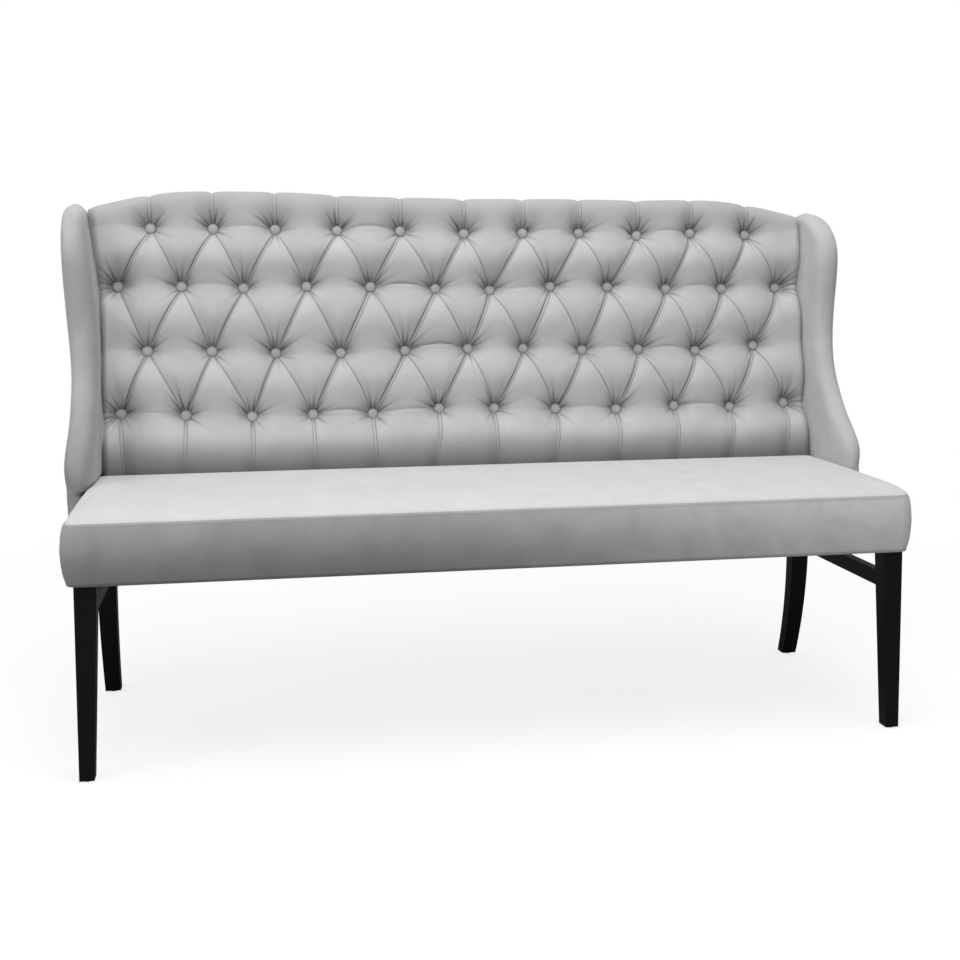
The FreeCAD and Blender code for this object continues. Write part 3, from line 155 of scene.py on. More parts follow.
def velvet(name, colour, shade, light, painted_shade=False):
    """Short-pile polyester velvet, woven and brushed: a soft pale edge at glancing angles, and cloudy patches a
    hand wide where the pile leans another way. The pile is 0.5 mm, drawn at 1.2 mm so that it shows."""
    material, tree, place = new_material(name)
    clouds = add(tree, "ShaderNodeTexNoise", [("Vector", place)], Scale=1 / (80 * MM), Detail=4.0, Roughness=0.6,
                 Distortion=0.6)
    brushed = add(tree, "ShaderNodeMapping", [("Vector", place)], Scale=(0.6, 1.0, 1.3))
    strokes = add(tree, "ShaderNodeTexNoise", [("Vector", brushed.outputs["Vector"])], Scale=1 / (14 * MM),
                  Detail=3.0, Roughness=0.5)
    ramp = two_tones(tree, clouds, shade, light, 0.30, 0.70)
    middle = ramp.color_ramp.elements.new(0.5)
    middle.color = linear(colour)
    skin = ramp.outputs["Color"]
    # Painted shade: the per-point shade value darkens the cloth toward #525254 in creases, folds and other places
    # less lit
    if painted_shade:
        depth = add(tree, "ShaderNodeAttribute", attribute_name="painted_shade")
        dark = add(tree, "ShaderNodeMix", [("Factor", depth.outputs["Fac"])])
        dark.data_type = "RGBA"
        tree.links.new(dark.inputs["A"], skin)
        dark.inputs["B"].default_value = linear("#525254")
        skin = dark.outputs["Result"]
    pile = add(tree, "ShaderNodeTexNoise", [("Vector", place)], Scale=1 / (1.2 * MM), Detail=2.0)
    weave = add(tree, "ShaderNodeBump", [("Height", pile.outputs["Fac"])], Strength=0.25, Distance=0.4 * MM)
    soft = add(tree, "ShaderNodeBump", [("Height", strokes.outputs["Fac"]), ("Normal", weave.outputs["Normal"])],
               Strength=0.25, Distance=0.5 * MM)
    cloth = add(tree, "ShaderNodeBsdfPrincipled", [("Base Color", skin), ("Normal", soft.outputs["Normal"])],
                Roughness=0.92, Specular_IOR_Level=0.15, Sheen_Weight=0.35, Sheen_Roughness=0.45)
    add(tree, "ShaderNodeOutputMaterial", [("Surface", cloth.outputs["BSDF"])])
    return material


def lacquered_beech(name, colour):
    """Beech under black satin lacquer, sprayed: the grain only shows as fine streaks in the gloss."""
    material, tree, place = new_material(name)
    along = add(tree, "ShaderNodeMapping", [("Vector", place)], Scale=(1.0, 1.0, 0.06))
    grain = add(tree, "ShaderNodeTexNoise", [("Vector", along.outputs["Vector"])], Scale=1 / (1.6 * MM),
                Detail=4.0)
    ramp = two_tones(tree, grain, colour, "#19191b")
    rough = add(tree, "ShaderNodeMapRange", [("Value", grain.outputs["Fac"])], To_Min=0.30, To_Max=0.46)
    bump = add(tree, "ShaderNodeBump", [("Height", grain.outputs["Fac"])], Strength=0.2, Distance=0.15 * MM)
    wood = add(tree, "ShaderNodeBsdfPrincipled", [("Base Color", ramp.outputs["Color"]),
                                                  ("Roughness", rough.outputs["Result"]),
                                                  ("Normal", bump.outputs["Normal"])],
               Specular_IOR_Level=0.22)
    add(tree, "ShaderNodeOutputMaterial", [("Surface", wood.outputs["BSDF"])])
    return material


def raw_wood(name, light, dark, grain_mm):
    """Sawn beech or sanded birch: pale, with fine long grain and no shine."""
    material, tree, place = new_material(name)
    along = add(tree, "ShaderNodeMapping", [("Vector", place)], Scale=(0.05, 1.0, 1.0))
    grain = add(tree, "ShaderNodeTexNoise", [("Vector", along.outputs["Vector"])], Scale=1 / (grain_mm * MM),
                Detail=5.0)
    ramp = two_tones(tree, grain, dark, light, 0.3, 0.7)
    wood = add(tree, "ShaderNodeBsdfPrincipled", [("Base Color", ramp.outputs["Color"])], Roughness=0.7)
    add(tree, "ShaderNodeOutputMaterial", [("Surface", wood.outputs["BSDF"])])
    return material


def speckled(name, light, dark, grain_mm, roughness, metallic=0.0):
    """A plain finish with a fine speckle: zinc plate's spangle, nylon's moulded skin, felted or woven cloth."""
    material, tree, place = new_material(name)
    speckle = add(tree, "ShaderNodeTexNoise", [("Vector", place)], Scale=1 / (grain_mm * MM), Detail=3.0)
    ramp = two_tones(tree, speckle, dark, light, 0.35, 0.65)
    bump = add(tree, "ShaderNodeBump", [("Height", speckle.outputs["Fac"])], Strength=0.2, Distance=0.2 * MM)
    finish = add(tree, "ShaderNodeBsdfPrincipled", [("Base Color", ramp.outputs["Color"]),
                                                    ("Normal", bump.outputs["Normal"])],
                 Roughness=roughness, Metallic=metallic)
    add(tree, "ShaderNodeOutputMaterial", [("Surface", finish.outputs["BSDF"])])
    return material


# Cloth: lit and shaded copies of one grey velvet. The seat's and the band's base colours are painted lighter, as
# lit from above, and the buttons' a little darker. Painted shade darkens the folds, creases and other less lit
# places on the rest
BACK_VELVET = velvet("grey_velvet_back", "#c2c2c3", "#bdbdbf", "#c7c7c8", painted_shade=True)
WING_VELVET = velvet("grey_velvet_wings", "#c3c3c4", "#bdbdbf", "#c9c9ca", painted_shade=True)
SEAT_VELVET = velvet("grey_velvet_seat", "#d6d6d7", "#d1d1d3", "#dadadb")
BAND_VELVET = velvet("grey_velvet_band", "#e4e4e5", "#d8d8da", "#ececed", painted_shade=True)
BUTTON_VELVET = velvet("grey_velvet_buttons", "#bcbcbd", "#b5b5b7", "#c2c2c3", painted_shade=True)
# Hidden soft fillings and thread: dull, with a speckle of cells or fibres
FOAM = speckled("upholstery_foam", "#e6ddba", "#d2c79f", 2.0, 0.95)
STITCH_THREAD = speckled("grey_polyester_thread", "#b8b8b9", "#9c9c9e", 0.6, 0.6)
# Woods: satin black where they show, raw inside
BLACK_BEECH = lacquered_beech("black_lacquered_beech", "#08080a")
RAW_BEECH = raw_wood("sawn_beech", "#c9a67c", "#a8815a", 2.0)
BIRCH_PLY = raw_wood("birch_plywood", "#d6ba90", "#c0a074", 3.0)
# Fittings: zinc's grey spangle on bolts and tee nuts, matt black nylon under the feet
ZINC_STEEL = speckled("zinc_plated_steel", "#b8babd", "#96999c", 1.5, 0.35, 1.0)
NYLON = speckled("moulded_nylon", "#1c1c1e", "#131315", 0.8, 0.5)
# Flat goods below and behind: matt, with the grain of their fibres
DUST_CLOTH = speckled("black_spunbond_cloth", "#1f1f21", "#121214", 1.2, 0.95)
WEBBING = speckled("woven_webbing", "#3b332c", "#241f1b", 1.6, 0.9)
TWINE = speckled("waxed_twine", "#c8bca4", "#a79a80", 0.7, 0.8)


# Surfaces
# Time steps of each cloth simulation
SWELL_FRAMES = 20


def on_back(across, behind, along):
    """Millimetres across, behind the buttons' raked plane and up the rake, as points in metres: Y grows with the
    sine of the rake up it and its cosine behind it, Z with the cosine up it and less the sine behind it."""
    y = BUTTON_PLANE_Y + along * math.sin(RAKE) + behind * math.cos(RAKE)
    z = ROW_FOUR_Z + along * math.cos(RAKE) - behind * math.sin(RAKE)
    return np.stack(np.broadcast_arrays(across, y, z), axis=-1) * MM


def soft_step(value, low, high):
    """0 below low, 1 above high, and the cubic 3t² - 2t³ between them."""
    t = np.clip((value - low) / (high - low), 0, 1)
    return t * t * (3 - 2 * t)


def grid_faces(rows, columns, round_rows=False, round_columns=False):
    """Quads of a grid of points, closed on itself one way or both."""
    index = np.arange(rows * columns).reshape(rows, columns)
    if round_rows:
        index = np.vstack([index, index[:1]])
    if round_columns:
        index = np.hstack([index, index[:, :1]])
    quads = np.stack([index[:-1, :-1], index[:-1, 1:], index[1:, 1:], index[1:, :-1]], axis=-1)
    return quads.reshape(-1, 4)


def fan(ring, centre):
    """Triangles from a closed ring of point numbers to one middle point."""
    return [(int(a), int(b), centre) for a, b in zip(ring, np.roll(ring, -1))]


def mesh_object(name, points, faces):
    """An object at the origin from points in metres and faces, which are turned outwards."""
    mesh = bpy.data.meshes.new(name)
    mesh.from_pydata(points.reshape(-1, 3).tolist(), [], [tuple(map(int, face)) for face in faces])
    work = bmesh.new()
    work.from_mesh(mesh)
    bmesh.ops.recalc_face_normals(work, faces=work.faces)
    work.to_mesh(mesh)
    work.free()
    thing = bpy.data.objects.new(name, mesh)
    bpy.context.scene.collection.objects.link(thing)
    return thing


def new_piece(name, points, faces, material, attributes=()):
    """A smooth piece in one material, riding on the bench, with values at its points for the material."""
    piece = mesh_object(name, points, faces)
    mesh = piece.data
    for key, values in attributes:
        layer = mesh.attributes.new(key, "FLOAT", "POINT")
        layer.data.foreach_set("value", np.ascontiguousarray(values.ravel(), np.float32))
    mesh.polygons.foreach_set("use_smooth", np.ones(len(mesh.polygons), bool))
    mesh.materials.append(material)
    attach(piece, "root")
    return piece


def swell(points, faces, held, pressure, cap):
    """Blows a cloth surface up from inside by simulation, with the held points pinned and no point moved
    further than the cap."""
    work = mesh_object("swelling", points, faces)
    pins = work.vertex_groups.new(name="pins")
    pins.add([int(i) for i in np.flatnonzero(held.ravel())], 1.0, "REPLACE")
    cloth = work.modifiers.new("cloth", "CLOTH")
    settings = cloth.settings
    settings.use_pressure = True
    settings.uniform_pressure_force = pressure
    settings.effector_weights.gravity = 0
    settings.vertex_group_mass = "pins"
    settings.quality = 6
    cloth.collision_settings.use_collision = False
    cloth.point_cache.frame_start = 1
    cloth.point_cache.frame_end = SWELL_FRAMES
    for step in range(1, SWELL_FRAMES + 1):
        bpy.context.scene.frame_set(step)
    shaped = work.evaluated_get(bpy.context.evaluated_depsgraph_get())
    result = np.empty(len(shaped.data.vertices) * 3, np.float32)
    shaped.data.vertices.foreach_get("co", result)
    bpy.context.scene.frame_set(1)
    bpy.data.objects.remove(work)
    flat = points.reshape(-1, 3)
    move = result.reshape(-1, 3) - flat
    length = np.linalg.norm(move, axis=1, keepdims=True) + 1e-9
    move *= cap * MM * np.tanh(length / (cap * MM)) / length
    return (flat + move).reshape(points.shape)


# Buttoned back
# The roll over the top: power of its superellipse, and how far behind the buttons' plane its highest line is
ROLL_POWER = 0.62
ROLL_MIDDLE = 20


def back_half_width(height, side):
    """Half the back's width at a height on one side: the wing's joint, averaged over 60 mm of height."""
    heights, halves = WING_JOINT[side > 0]
    return sum(np.interp(height + step, heights, halves) for step in (-30, -10, 10, 30)) / 4


def top_line(across):
    """Height up the rake of the back's top edge: level in the middle, a little higher on the left as it was
    upholstered, and falling at the ends with a power of 2.5."""
    past = np.clip((np.abs(across) - LEVEL_HALF) / (POST_OUTER - LEVEL_HALF), 0, None)
    return BACK_TOP + TOP_LIFT * soft_step(-across, 160, 420) - TOP_FALL * past ** 2.5


def row_height(order):
    """Height up the rake at a row number: 0 is the top row and 3 the lowest."""
    return np.interp(order, (0, 1, 2, 3), ROWS)


def button_places():
    """Column, row number, and offsets across and up of every button."""
    for row, offsets in enumerate(HAND_SET):
        for count, (aside, up) in enumerate(offsets):
            yield 2 * count - len(offsets) + 1, row, aside, up


def hand_set(column, order):
    """Offsets in mm across and up at a place on the grid, straight between the buttons beside it and the rows."""
    inner = np.clip(order, 0, 3)
    result = []
    for axis in (0, 1):
        rows = [np.interp(column, [2 * i - len(offsets) + 1 for i in range(len(offsets))],
                          [offset[axis] for offset in offsets]) for offsets in HAND_SET]
        result.append(sum(row * np.clip(1 - np.abs(inner - number), 0, 1) for number, row in enumerate(rows)))
    return result


def fold_turns(column, row):
    """Folds at one button, many above it and few below: direction in degrees, height, reach and width in mm."""
    seeded = np.random.default_rng(column * 7 + row * 101 + 900)
    above = np.linspace(22, 158, 6) + seeded.uniform(-9, 9, 6)
    below = seeded.uniform(205, 335, 3)
    turns = [(t, -s, r, 1.5) for t, s, r in zip(above, seeded.uniform(3.0, 8.0, 6), seeded.uniform(7, 18, 6))]
    turns += [(t + 9, 0.5 * s, r, 2.0)
              for t, s, r in zip(above, seeded.uniform(1.0, 3.0, 6), seeded.uniform(9, 16, 6))]
    turns += [(t, s, 14, 1.5) for t, s in zip(below, seeded.uniform(-3.4, -1.2, 3))]
    turns += [(t + 11, 1.4, 12, 1.8) for t in below]
    turns += [(seeded.choice([6, -4, 12]), -2.2, 16, 1.5), (180 - seeded.choice([6, -4, 12]), -2.2, 16, 1.5)]
    if abs(column) == LAST_COLUMN:
        # The last button of a long row also draws folds in from the wing
        toward = 0 if column > 0 else 180
        turns += [(toward + lean, -4.5 + abs(lean) / 20, 34, 1.8) for lean in (-38, -20, 4, 24, 40)]
    return turns


def cut(away, depth, width):
    """A narrow cut with a sharp foot and soft shoulders."""
    return depth * np.exp(-np.abs(away) / width)


def rib(away, height, width):
    """A rounded rib or, with a negative height, a groove."""
    return height * np.exp(-(away / width) ** 2)


def roll_level(order, inner, inside):
    """Height of the padding without its pleats: it swells with the sine of the place between two rows, and stands
    higher below the last row and over the top."""
    part = inner - np.floor(np.clip(inner, 0, 2.9999))
    roll = np.where(inside, 0.55 * np.sin(part * math.pi) ** 2 + 0.45 * np.abs(np.sin(part * math.pi)), 0)
    return 34 + 9 * roll + 11 * soft_step(order, 3.0, 3.6) + 2 * soft_step(-order, 0.0, 0.5)


def cut_pleats(level, column, order, inner, inside):
    """Cuts the pleats into the level: double ones that rise to the right, single ones that fall, and upright ones
    below the last row and over the top. Returns it with the painted shade along the pleats' creases."""
    rising = (column + inner) / 2
    falling = (column - inner) / 2
    lean = COLUMN_STEP * ROW_STEP / math.hypot(COLUMN_STEP, ROW_STEP)
    off_rising = (rising - np.round(rising)) * 2 * lean
    off_falling = (falling - np.round(falling)) * 2 * lean
    low = order > 1.5
    first = np.where(low, 2 * np.round((column - 1) / 2) + 1, 2 * np.round(column / 2))
    seeded = np.random.default_rng(5)
    drifts = seeded.uniform(-7, 7, 40)
    strips = seeded.uniform(2.2, 4.6, (60, 4))
    far = np.where(low, np.maximum(order - 3, 0), 0)
    drift = drifts[(np.round(first) + 20).astype(int) % 40] * np.minimum(far, 1) ** 1.5 * np.where(low, 1, 0)
    off_upright = (column - first) * COLUMN_STEP - drift
    near_rising = np.where(inside, np.abs(off_rising), np.abs(off_upright))
    near_falling = np.where(inside, np.abs(off_falling), np.abs(off_upright))
    # Pleats end at the last button of a long row
    fade = np.where(inside, 1 - soft_step(np.abs(column), LAST_COLUMN, LAST_COLUMN + 0.25), 1)
    level += 8 - 8 * fade * (1 - np.tanh((near_rising / 20) ** 1.3) * np.tanh((near_falling / 20) ** 1.3))
    # Pleats that rise to the right lie double: two lines with a flat strip between them
    strip = strips[(np.round(rising) + 25).astype(int) % 60, np.clip(np.floor(inner), 0, 3).astype(int)]
    double = (cut(off_rising, 3.6, 1.7) + cut(off_rising, 3.0, 12) + cut(off_rising - strip - 1.4, 2.2, 1.3)
              - rib(off_rising - strip / 2 - 0.7, 0.9, 1.6))
    single = cut(off_falling, 1.9, 1.4) + cut(off_falling, 1.8, 11)
    upright = (cut(off_upright + 3.2, 2.2, 1.4) + cut(off_upright - 3.2, 2.4, 1.4) + cut(off_upright, 3.2, 14)
               - rib(off_upright, 0.8, 2.0))
    level -= np.where(inside, fade * (double + single), upright)
    # Painted shade along the pleat lines
    slanting = np.maximum.reduce([rib(off_rising, 0.85, 1.5), rib(off_rising - strip - 1.4, 0.6, 1.3),
                                  rib(off_falling, 0.62, 1.2)])
    hanging = np.maximum(rib(off_upright + 3.2, 0.5, 1.3), rib(off_upright - 3.2, 0.6, 1.3))
    return level, np.where(inside, fade * slanting, hanging)


def level_creases(level, painted_shade, across, height):
    """Adds the creases between neighbours of one row: each a groove with a ridge below it, arched with 1 - x² over
    its middle."""
    for row, count, depth, arch in LEVEL_CREASES:
        middle = (2 * count - len(HAND_SET[row]) + 2) * COLUMN_STEP
        along = (across - middle) / COLUMN_STEP
        above = height - ROWS[row] - arch * np.clip(1 - along ** 2, 0, 1)
        reach = soft_step(1 - np.abs(along), 0.08, 0.35)
        level -= reach * (rib(above, depth * 1.7, 2.6) + rib(above, depth, 10) - rib(above + 6, depth * 0.7, 4))
        # Painted shade along each level crease
        painted_shade = np.maximum(painted_shade, reach * rib(above, 0.22 * depth, 2.2))
    return level, painted_shade


def button_dips(level, painted_shade, across, height):
    """Sinks a rounded dip at each button and runs its folds into it, with painted shade in the folds and in the
    dish above each button. A fold is a groove or rib that fades with the exponential of its length."""
    dip = np.ones_like(level)
    for button_column, row, _, _ in button_places():
        aside = across - button_column * COLUMN_STEP
        above = height - ROWS[row]
        near = (np.abs(aside) < 100) & (np.abs(above) < 100)
        a, b = aside[near], above[near]
        stretched = np.hypot(a * 0.96, b * np.where(b > 0, 1.06, 1.18))
        dip[near] *= 1 - np.exp(-(np.maximum(stretched - 9, 0) / 23) ** 1.12)
        for degrees, strength, reach, width in fold_turns(button_column, row):
            turn = math.radians(degrees)
            along = a * math.cos(turn) + b * math.sin(turn)
            off = a * math.sin(turn) - b * math.cos(turn)
            length = soft_step(along, 8, 16) * np.exp(-np.maximum(along - 14, 0) / reach)
            fold = strength * length * np.exp(-(off / (width + along.clip(0) * 0.03)) ** 2)
            level[near] += fold / np.maximum(dip[near], 0.3)
            # Painted shade in the grooves of the folds
            painted_shade[near] = np.maximum(painted_shade[near], 0.85 * np.tanh(np.maximum(-fold, 0) * 0.34))
        # Painted shade in the dish above the button
        shade = np.exp(-(np.maximum(stretched - 12, 0) / 15) ** 2) * soft_step(b, -10, 14) * 0.42
        painted_shade[near] = np.maximum(painted_shade[near], shade)
    return level * dip, np.clip(painted_shade, 0, 1)


def puff_field(column, order, height):
    """How far the padding stands in front of the dishes, in mm, and its painted shade: darker in the creases and
    folds and above each button. It has a level roll between two rows, pleats along the lines where column plus or
    minus row number is even, level creases, a dip at each button, and short folds that run into each button."""
    across = column * COLUMN_STEP
    inner = np.clip(order, 0, 3)
    inside = (order > -0.001) & (order < 3.001)
    level, painted_shade = cut_pleats(roll_level(order, inner, inside), column, order, inner, inside)
    level, painted_shade = level_creases(level, painted_shade, across, height)
    return button_dips(level, painted_shade, across, height)


def spread(columns, beyond, height):
    """Millimetres across of the grid's columns at a height, the outermost drawn out to the joint with the wing,
    and the half width of that joint."""
    level = ROW_FOUR_Z + height * math.cos(RAKE)
    end = np.where(columns < 0, back_half_width(level, -1), back_half_width(level, 1))
    last = LAST_COLUMN * COLUMN_STEP
    return np.sign(columns) * (np.minimum(np.abs(columns), LAST_COLUMN) * COLUMN_STEP + beyond * (end - last)), end


def top_roll(columns, beyond, tuck, aside, up, line, fine):
    """Rows of points over the top, from the top row of buttons to the highest line on a quarter of a superellipse,
    and their painted shade: the creases' shade fades over the roll, and a painted shade darkens it as it rises."""
    rows, creases = [], []
    foot = ROWS[0] + up * (1 - beyond)
    even = np.arcsin(np.linspace(0, 1, int(fine * 0.7)) ** (1 / ROLL_POWER))
    for turn in np.union1d(even, np.radians(np.linspace(0, 90, 16)))[1:]:
        rise = math.sin(turn) ** ROLL_POWER
        lift = foot + (line - foot) * rise
        grid_lift = ROWS[0] + (BACK_TOP - ROWS[0]) * rise
        x, _ = spread(columns, beyond, lift)
        puff, painted_shade = puff_field(x / COLUMN_STEP, np.full_like(lift, -0.002 - 0.7 * rise),
                                  np.full_like(lift, grid_lift))
        front = DISH - puff + tuck
        behind = ROLL_MIDDLE - (ROLL_MIDDLE - front) * math.cos(turn) ** 0.6
        rows.append(on_back(x + aside * (1 - beyond), behind, lift)[None])
        # Painted shade: crease shade fading over the roll, and a darkening that grows toward the top
        creases.append(np.maximum(painted_shade * (0.35 + 0.65 * math.cos(turn)), 0.21 * rise)[None])
    return rows, creases


def back_behind(columns, beyond, line):
    """Rows of points behind the top line: a smaller quarter of an ellipse, then down inside the outside cloth."""
    rows = []
    for turn in np.radians(np.linspace(0, 90, 9))[1:]:
        lift = line - 14 * (1 - math.cos(turn))
        x, _ = spread(columns, beyond, lift)
        rows.append(on_back(x, ROLL_MIDDLE + (BACK_REAR - ROLL_MIDDLE - 0.5) * math.sin(turn), lift)[None])
    for lift, behind in ((380, BACK_REAR - 2), (360, BACK_INSIDE), (200, BACK_INSIDE), (0, BACK_INSIDE),
                         (BACK_FOOT, BACK_INSIDE)):
        x, _ = spread(columns, beyond, np.full_like(columns, lift))
        rows.append(on_back(x, behind, lift)[None])
    return rows


def split_along_pleats(quads, columns, orders, count):
    """Splits each quad of the back's loop into two triangles, along the pleat that it lies nearest to."""
    mid_column = (columns[:-1] + columns[1:]) / 2
    mid_order = np.concatenate([(orders[:-1] + orders[1:]) / 2, np.full(count - len(orders) + 1, -1)])
    column, order = np.meshgrid(mid_column, np.clip(mid_order, 0, 3))
    to_rising = np.abs((column + order) / 2 - np.round((column + order) / 2)).ravel()
    to_falling = np.abs((column - order) / 2 - np.round((column - order) / 2)).ravel()
    along_rising = (to_rising < to_falling)[:, None]
    a, b, c, d = quads.T
    first = np.where(along_rising, np.stack([a, b, c], 1), np.stack([a, b, d], 1))
    second = np.where(along_rising, np.stack([a, c, d], 1), np.stack([b, c, d], 1))
    return np.concatenate([first, second]).tolist()


def tufted_back():
    """The buttoned cover as one closed loop per column: up the front, over the top roll, down behind, and back
    under. Columns and rows have equal counts between buttons, so that every diagonal pleat runs through points."""
    fine = 40
    end_part = np.linspace(0, 1, fine // 2 + 1)[1:]
    columns = np.concatenate([-LAST_COLUMN - end_part[::-1],
                              np.arange(-LAST_COLUMN * fine, LAST_COLUMN * fine + 1) / fine,
                              LAST_COLUMN + end_part])
    between = np.arange(3 * fine, -1, -1) / fine
    foot = np.linspace(BACK_FOOT, 0, int(fine * 1.2), endpoint=False)
    orders = np.concatenate([3 - foot / ROWS[2], between])
    column, order = np.meshgrid(columns, orders)
    height = np.broadcast_to(np.concatenate([foot, row_height(between)])[:, None], column.shape)
    beyond = np.clip(np.abs(column) - LAST_COLUMN, 0, 1)
    across, end = spread(column, beyond, height)
    puff, painted_shade = puff_field(across / COLUMN_STEP, order, height)
    tuck = 15 * np.clip(1 - (end - np.abs(across)) / 16, 0, 1) ** 2.2
    tuck_under = 17 * (1 - soft_step(height, -138, -40))
    aside, up = hand_set(column, order)
    fixed = (1 - beyond) * soft_step(height, BACK_FOOT, -20)
    # Painted shade at the back's foot, where it meets the seat
    painted_shade = np.maximum(painted_shade, 0.72 * soft_step(-height, 40, 128))
    front = on_back(across + aside * fixed, DISH - puff + tuck + tuck_under, height + up * fixed)
    line = top_line(across[-1]) + up[-1] * 0.5
    notch = np.abs(columns - 2 * np.round(columns / 2)) * COLUMN_STEP
    line = line - rib(notch, 2.6, 7) * (np.abs(columns) < LAST_COLUMN - 0.1)
    over, over_creases = top_roll(columns, beyond[-1], tuck[-1], aside[-1], up[-1], line, fine)
    behind = back_behind(columns, beyond[-1], line)
    points = np.concatenate([front] + over + behind)
    creases = np.concatenate([painted_shade] + over_creases + [np.zeros((len(behind), len(columns)))])
    count, width = points.shape[:2]
    faces = split_along_pleats(grid_faces(count, width, round_rows=True), columns, orders, count)
    flat = np.concatenate([points.reshape(-1, 3), points[:, [0, -1]].mean(axis=0)])
    for side, edge in enumerate((0, width - 1)):
        faces += fan(np.arange(count) * width + edge, count * width + side)
    piece = new_piece("buttoned_back", flat, faces, BACK_VELVET,
                      [("painted_shade", np.concatenate([creases.ravel(), [0, 0]]))])
    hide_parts("back_front_cover", "back_foam")


def covered_buttons():
    """46 domes turned about their own axes: a back, a rolled rim and a crown that falls with the square of the
    radius, each tilted a little its own way."""
    profile = [(0.0, 1.5), (6.0, 1.5), (10.6, 1.0), (11.7, -0.6), (12.0, -2.2), (11.6, -3.6)]
    profile += [(11.0 * c, -3.9 - 4.4 * (1 - c * c) ** 0.7)
                for c in (1.0, 0.93, 0.84, 0.72, 0.56, 0.38, 0.18, 0.0)]
    radii, depths = np.array(profile).T
    turns = np.linspace(0, 2 * math.pi, 28, endpoint=False)
    points, faces, shades = [], [], []
    seeded = np.random.default_rng(12)
    for column, row, aside, up in button_places():
        tilt_across, tilt_up = seeded.uniform(-0.10, 0.10), seeded.uniform(-0.16, 0.04)
        across = radii[:, None] * np.cos(turns)
        along = radii[:, None] * np.sin(turns)
        behind = depths[:, None] + 5.0 + across * tilt_across + along * tilt_up
        ring = on_back(across + column * COLUMN_STEP + aside, behind, along + ROWS[row] + up)
        start = sum(len(block) for block in points)
        points.append(ring.reshape(-1, 3))
        faces += (grid_faces(len(radii), len(turns), round_columns=True) + start).tolist()
        # Painted shade in the groove round each button's rim
        shades.append(np.repeat(rib(radii - 12, 0.55, 1.4), len(turns)))
    piece = new_piece("covered_buttons", np.concatenate(points), faces, BUTTON_VELVET,
                      [("painted_shade", np.concatenate(shades))])
    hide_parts("back_buttons")


# Wings
def wing_shape(height):
    """Reach in front of the buttons' plane and outer face of a wing at a height: the front edge is averaged over a
    few heights, and the outer face bulges at the seat and draws in above it."""
    share = (height - WING_SEAT_Z) / (WING_TOP_Z - WING_SEAT_Z)
    shares, reaches = np.array(WING_FRONT).T
    reach = np.interp(share, shares, reaches)
    smooth = sum(np.interp(share + step, shares, reaches) for step in (-0.03, -0.015, 0.015, 0.03))
    reach = np.where(share > 0.93, reach, (reach + smooth) / 5)
    outer = WING_OUTER_X + 15.5 * np.clip(share, 0, 1) + 6.5 * np.exp(-((share - 0.07) / 0.10) ** 2) + 1.5
    return WING_REACH * reach, outer - 4.5 * np.exp(-((share - 0.38) / 0.16) ** 2)


def wing_section(side, height, rounding, lift):
    """One level closed section of a wing as points in mm: outer face, half-elliptic nose, inner face, and the step
    behind the back's end. The rounding draws it in from 0 to 1 over the cap."""
    reach, outer = wing_shape(height - (lift + 3) * soft_step(height, 880, 1060))
    inner = back_half_width(height, side) + 1
    if height < SEAM_Z - 3:
        # Beside the seat's band the inner face stands off it
        down = (SEAM_Z - height) / (SEAM_Z - SEAT_FOOT_Z)
        inner = SEAT_HALF + 1.0 + 5.0 * np.interp(down, *BAND_BULGE)
    elif height < SEAM_Z + 21:
        # Above the seam it follows the crown
        crown = np.clip((height + 3.0 - SEAM_Z) / (SEAT_CROWN - 2.5), 0, 0.97) ** (1 / 0.9)
        inner = max(inner, SEAT_HALF + 1.4 + SIDE_EASE * math.log(1 - crown))
    reach -= 13 * (1 - soft_step(height, 468, 540))
    plane = BUTTON_PLANE_Y + math.tan(RAKE) * (height - ROW_FOUR_Z)
    inset = rounding * (outer - inner) / 2
    front = plane - reach / math.cos(RAKE) + inset * 1.2
    face = plane + WING_STEP_BEHIND / math.cos(RAKE)
    rear = plane + WING_REAR / math.cos(RAKE) - inset * 0.4
    step_x = np.interp(height, (1008, 1017), (WING_STEP_X + 0.5, inner + 0.6))
    outer, inner, step_x = outer - inset, inner + inset, max(step_x, inner + inset)
    middle, half = (outer + inner) / 2, (outer - inner) / 2
    nose = 13 + 21 * soft_step(height, 470, 500)
    # Near the seat the nose runs out long and slanting on its inner side
    taper = nose + 60 * soft_step(height, 472, 486) * (1 - soft_step(height, 500, 610))
    face = max(face, front + taper + 4)
    rear = max(rear, face + 4)
    outer_y = np.linspace(rear, front + nose, 26)[:-1]
    inner_y = np.linspace(front + taper, face, 22)[1:]
    bow = 1.4 * np.sin(np.linspace(0, math.pi, 25))
    section = [(outer + b * (inset == 0), y) for y, b in zip(outer_y, bow)]
    for turn in np.radians(np.linspace(0, 180, 25)):
        length = nose if math.cos(turn) > 0 else taper
        section.append((middle + half * math.copysign(abs(math.cos(turn)) ** 0.82, math.cos(turn)),
                        front + length * (1 - math.sin(turn) ** 0.9)))
    section += [(inner, y) for y in inner_y] + [(step_x, face), (step_x, rear)]
    # The top falls a little toward the rear
    fall = 8 * soft_step(height, 960, WING_TOP_Z) / (rear - front)
    return [(side * x, y, height - fall * (y - front)) for x, y in section]


def wing_painted_shade(level):
    """Painted shade on the left wing: darker on the inner face and low down, where less light falls, and none at
    the top.
    """
    inward = soft_step(np.arange(level.shape[1]), 27, 51) * np.ones_like(level)
    falloff_shade = 0.52 * inward + (0.44 - 0.37 * inward) * (1 - soft_step(level, 540, 700))
    return falloff_shade * (1 - soft_step(level, 1020, 1058))


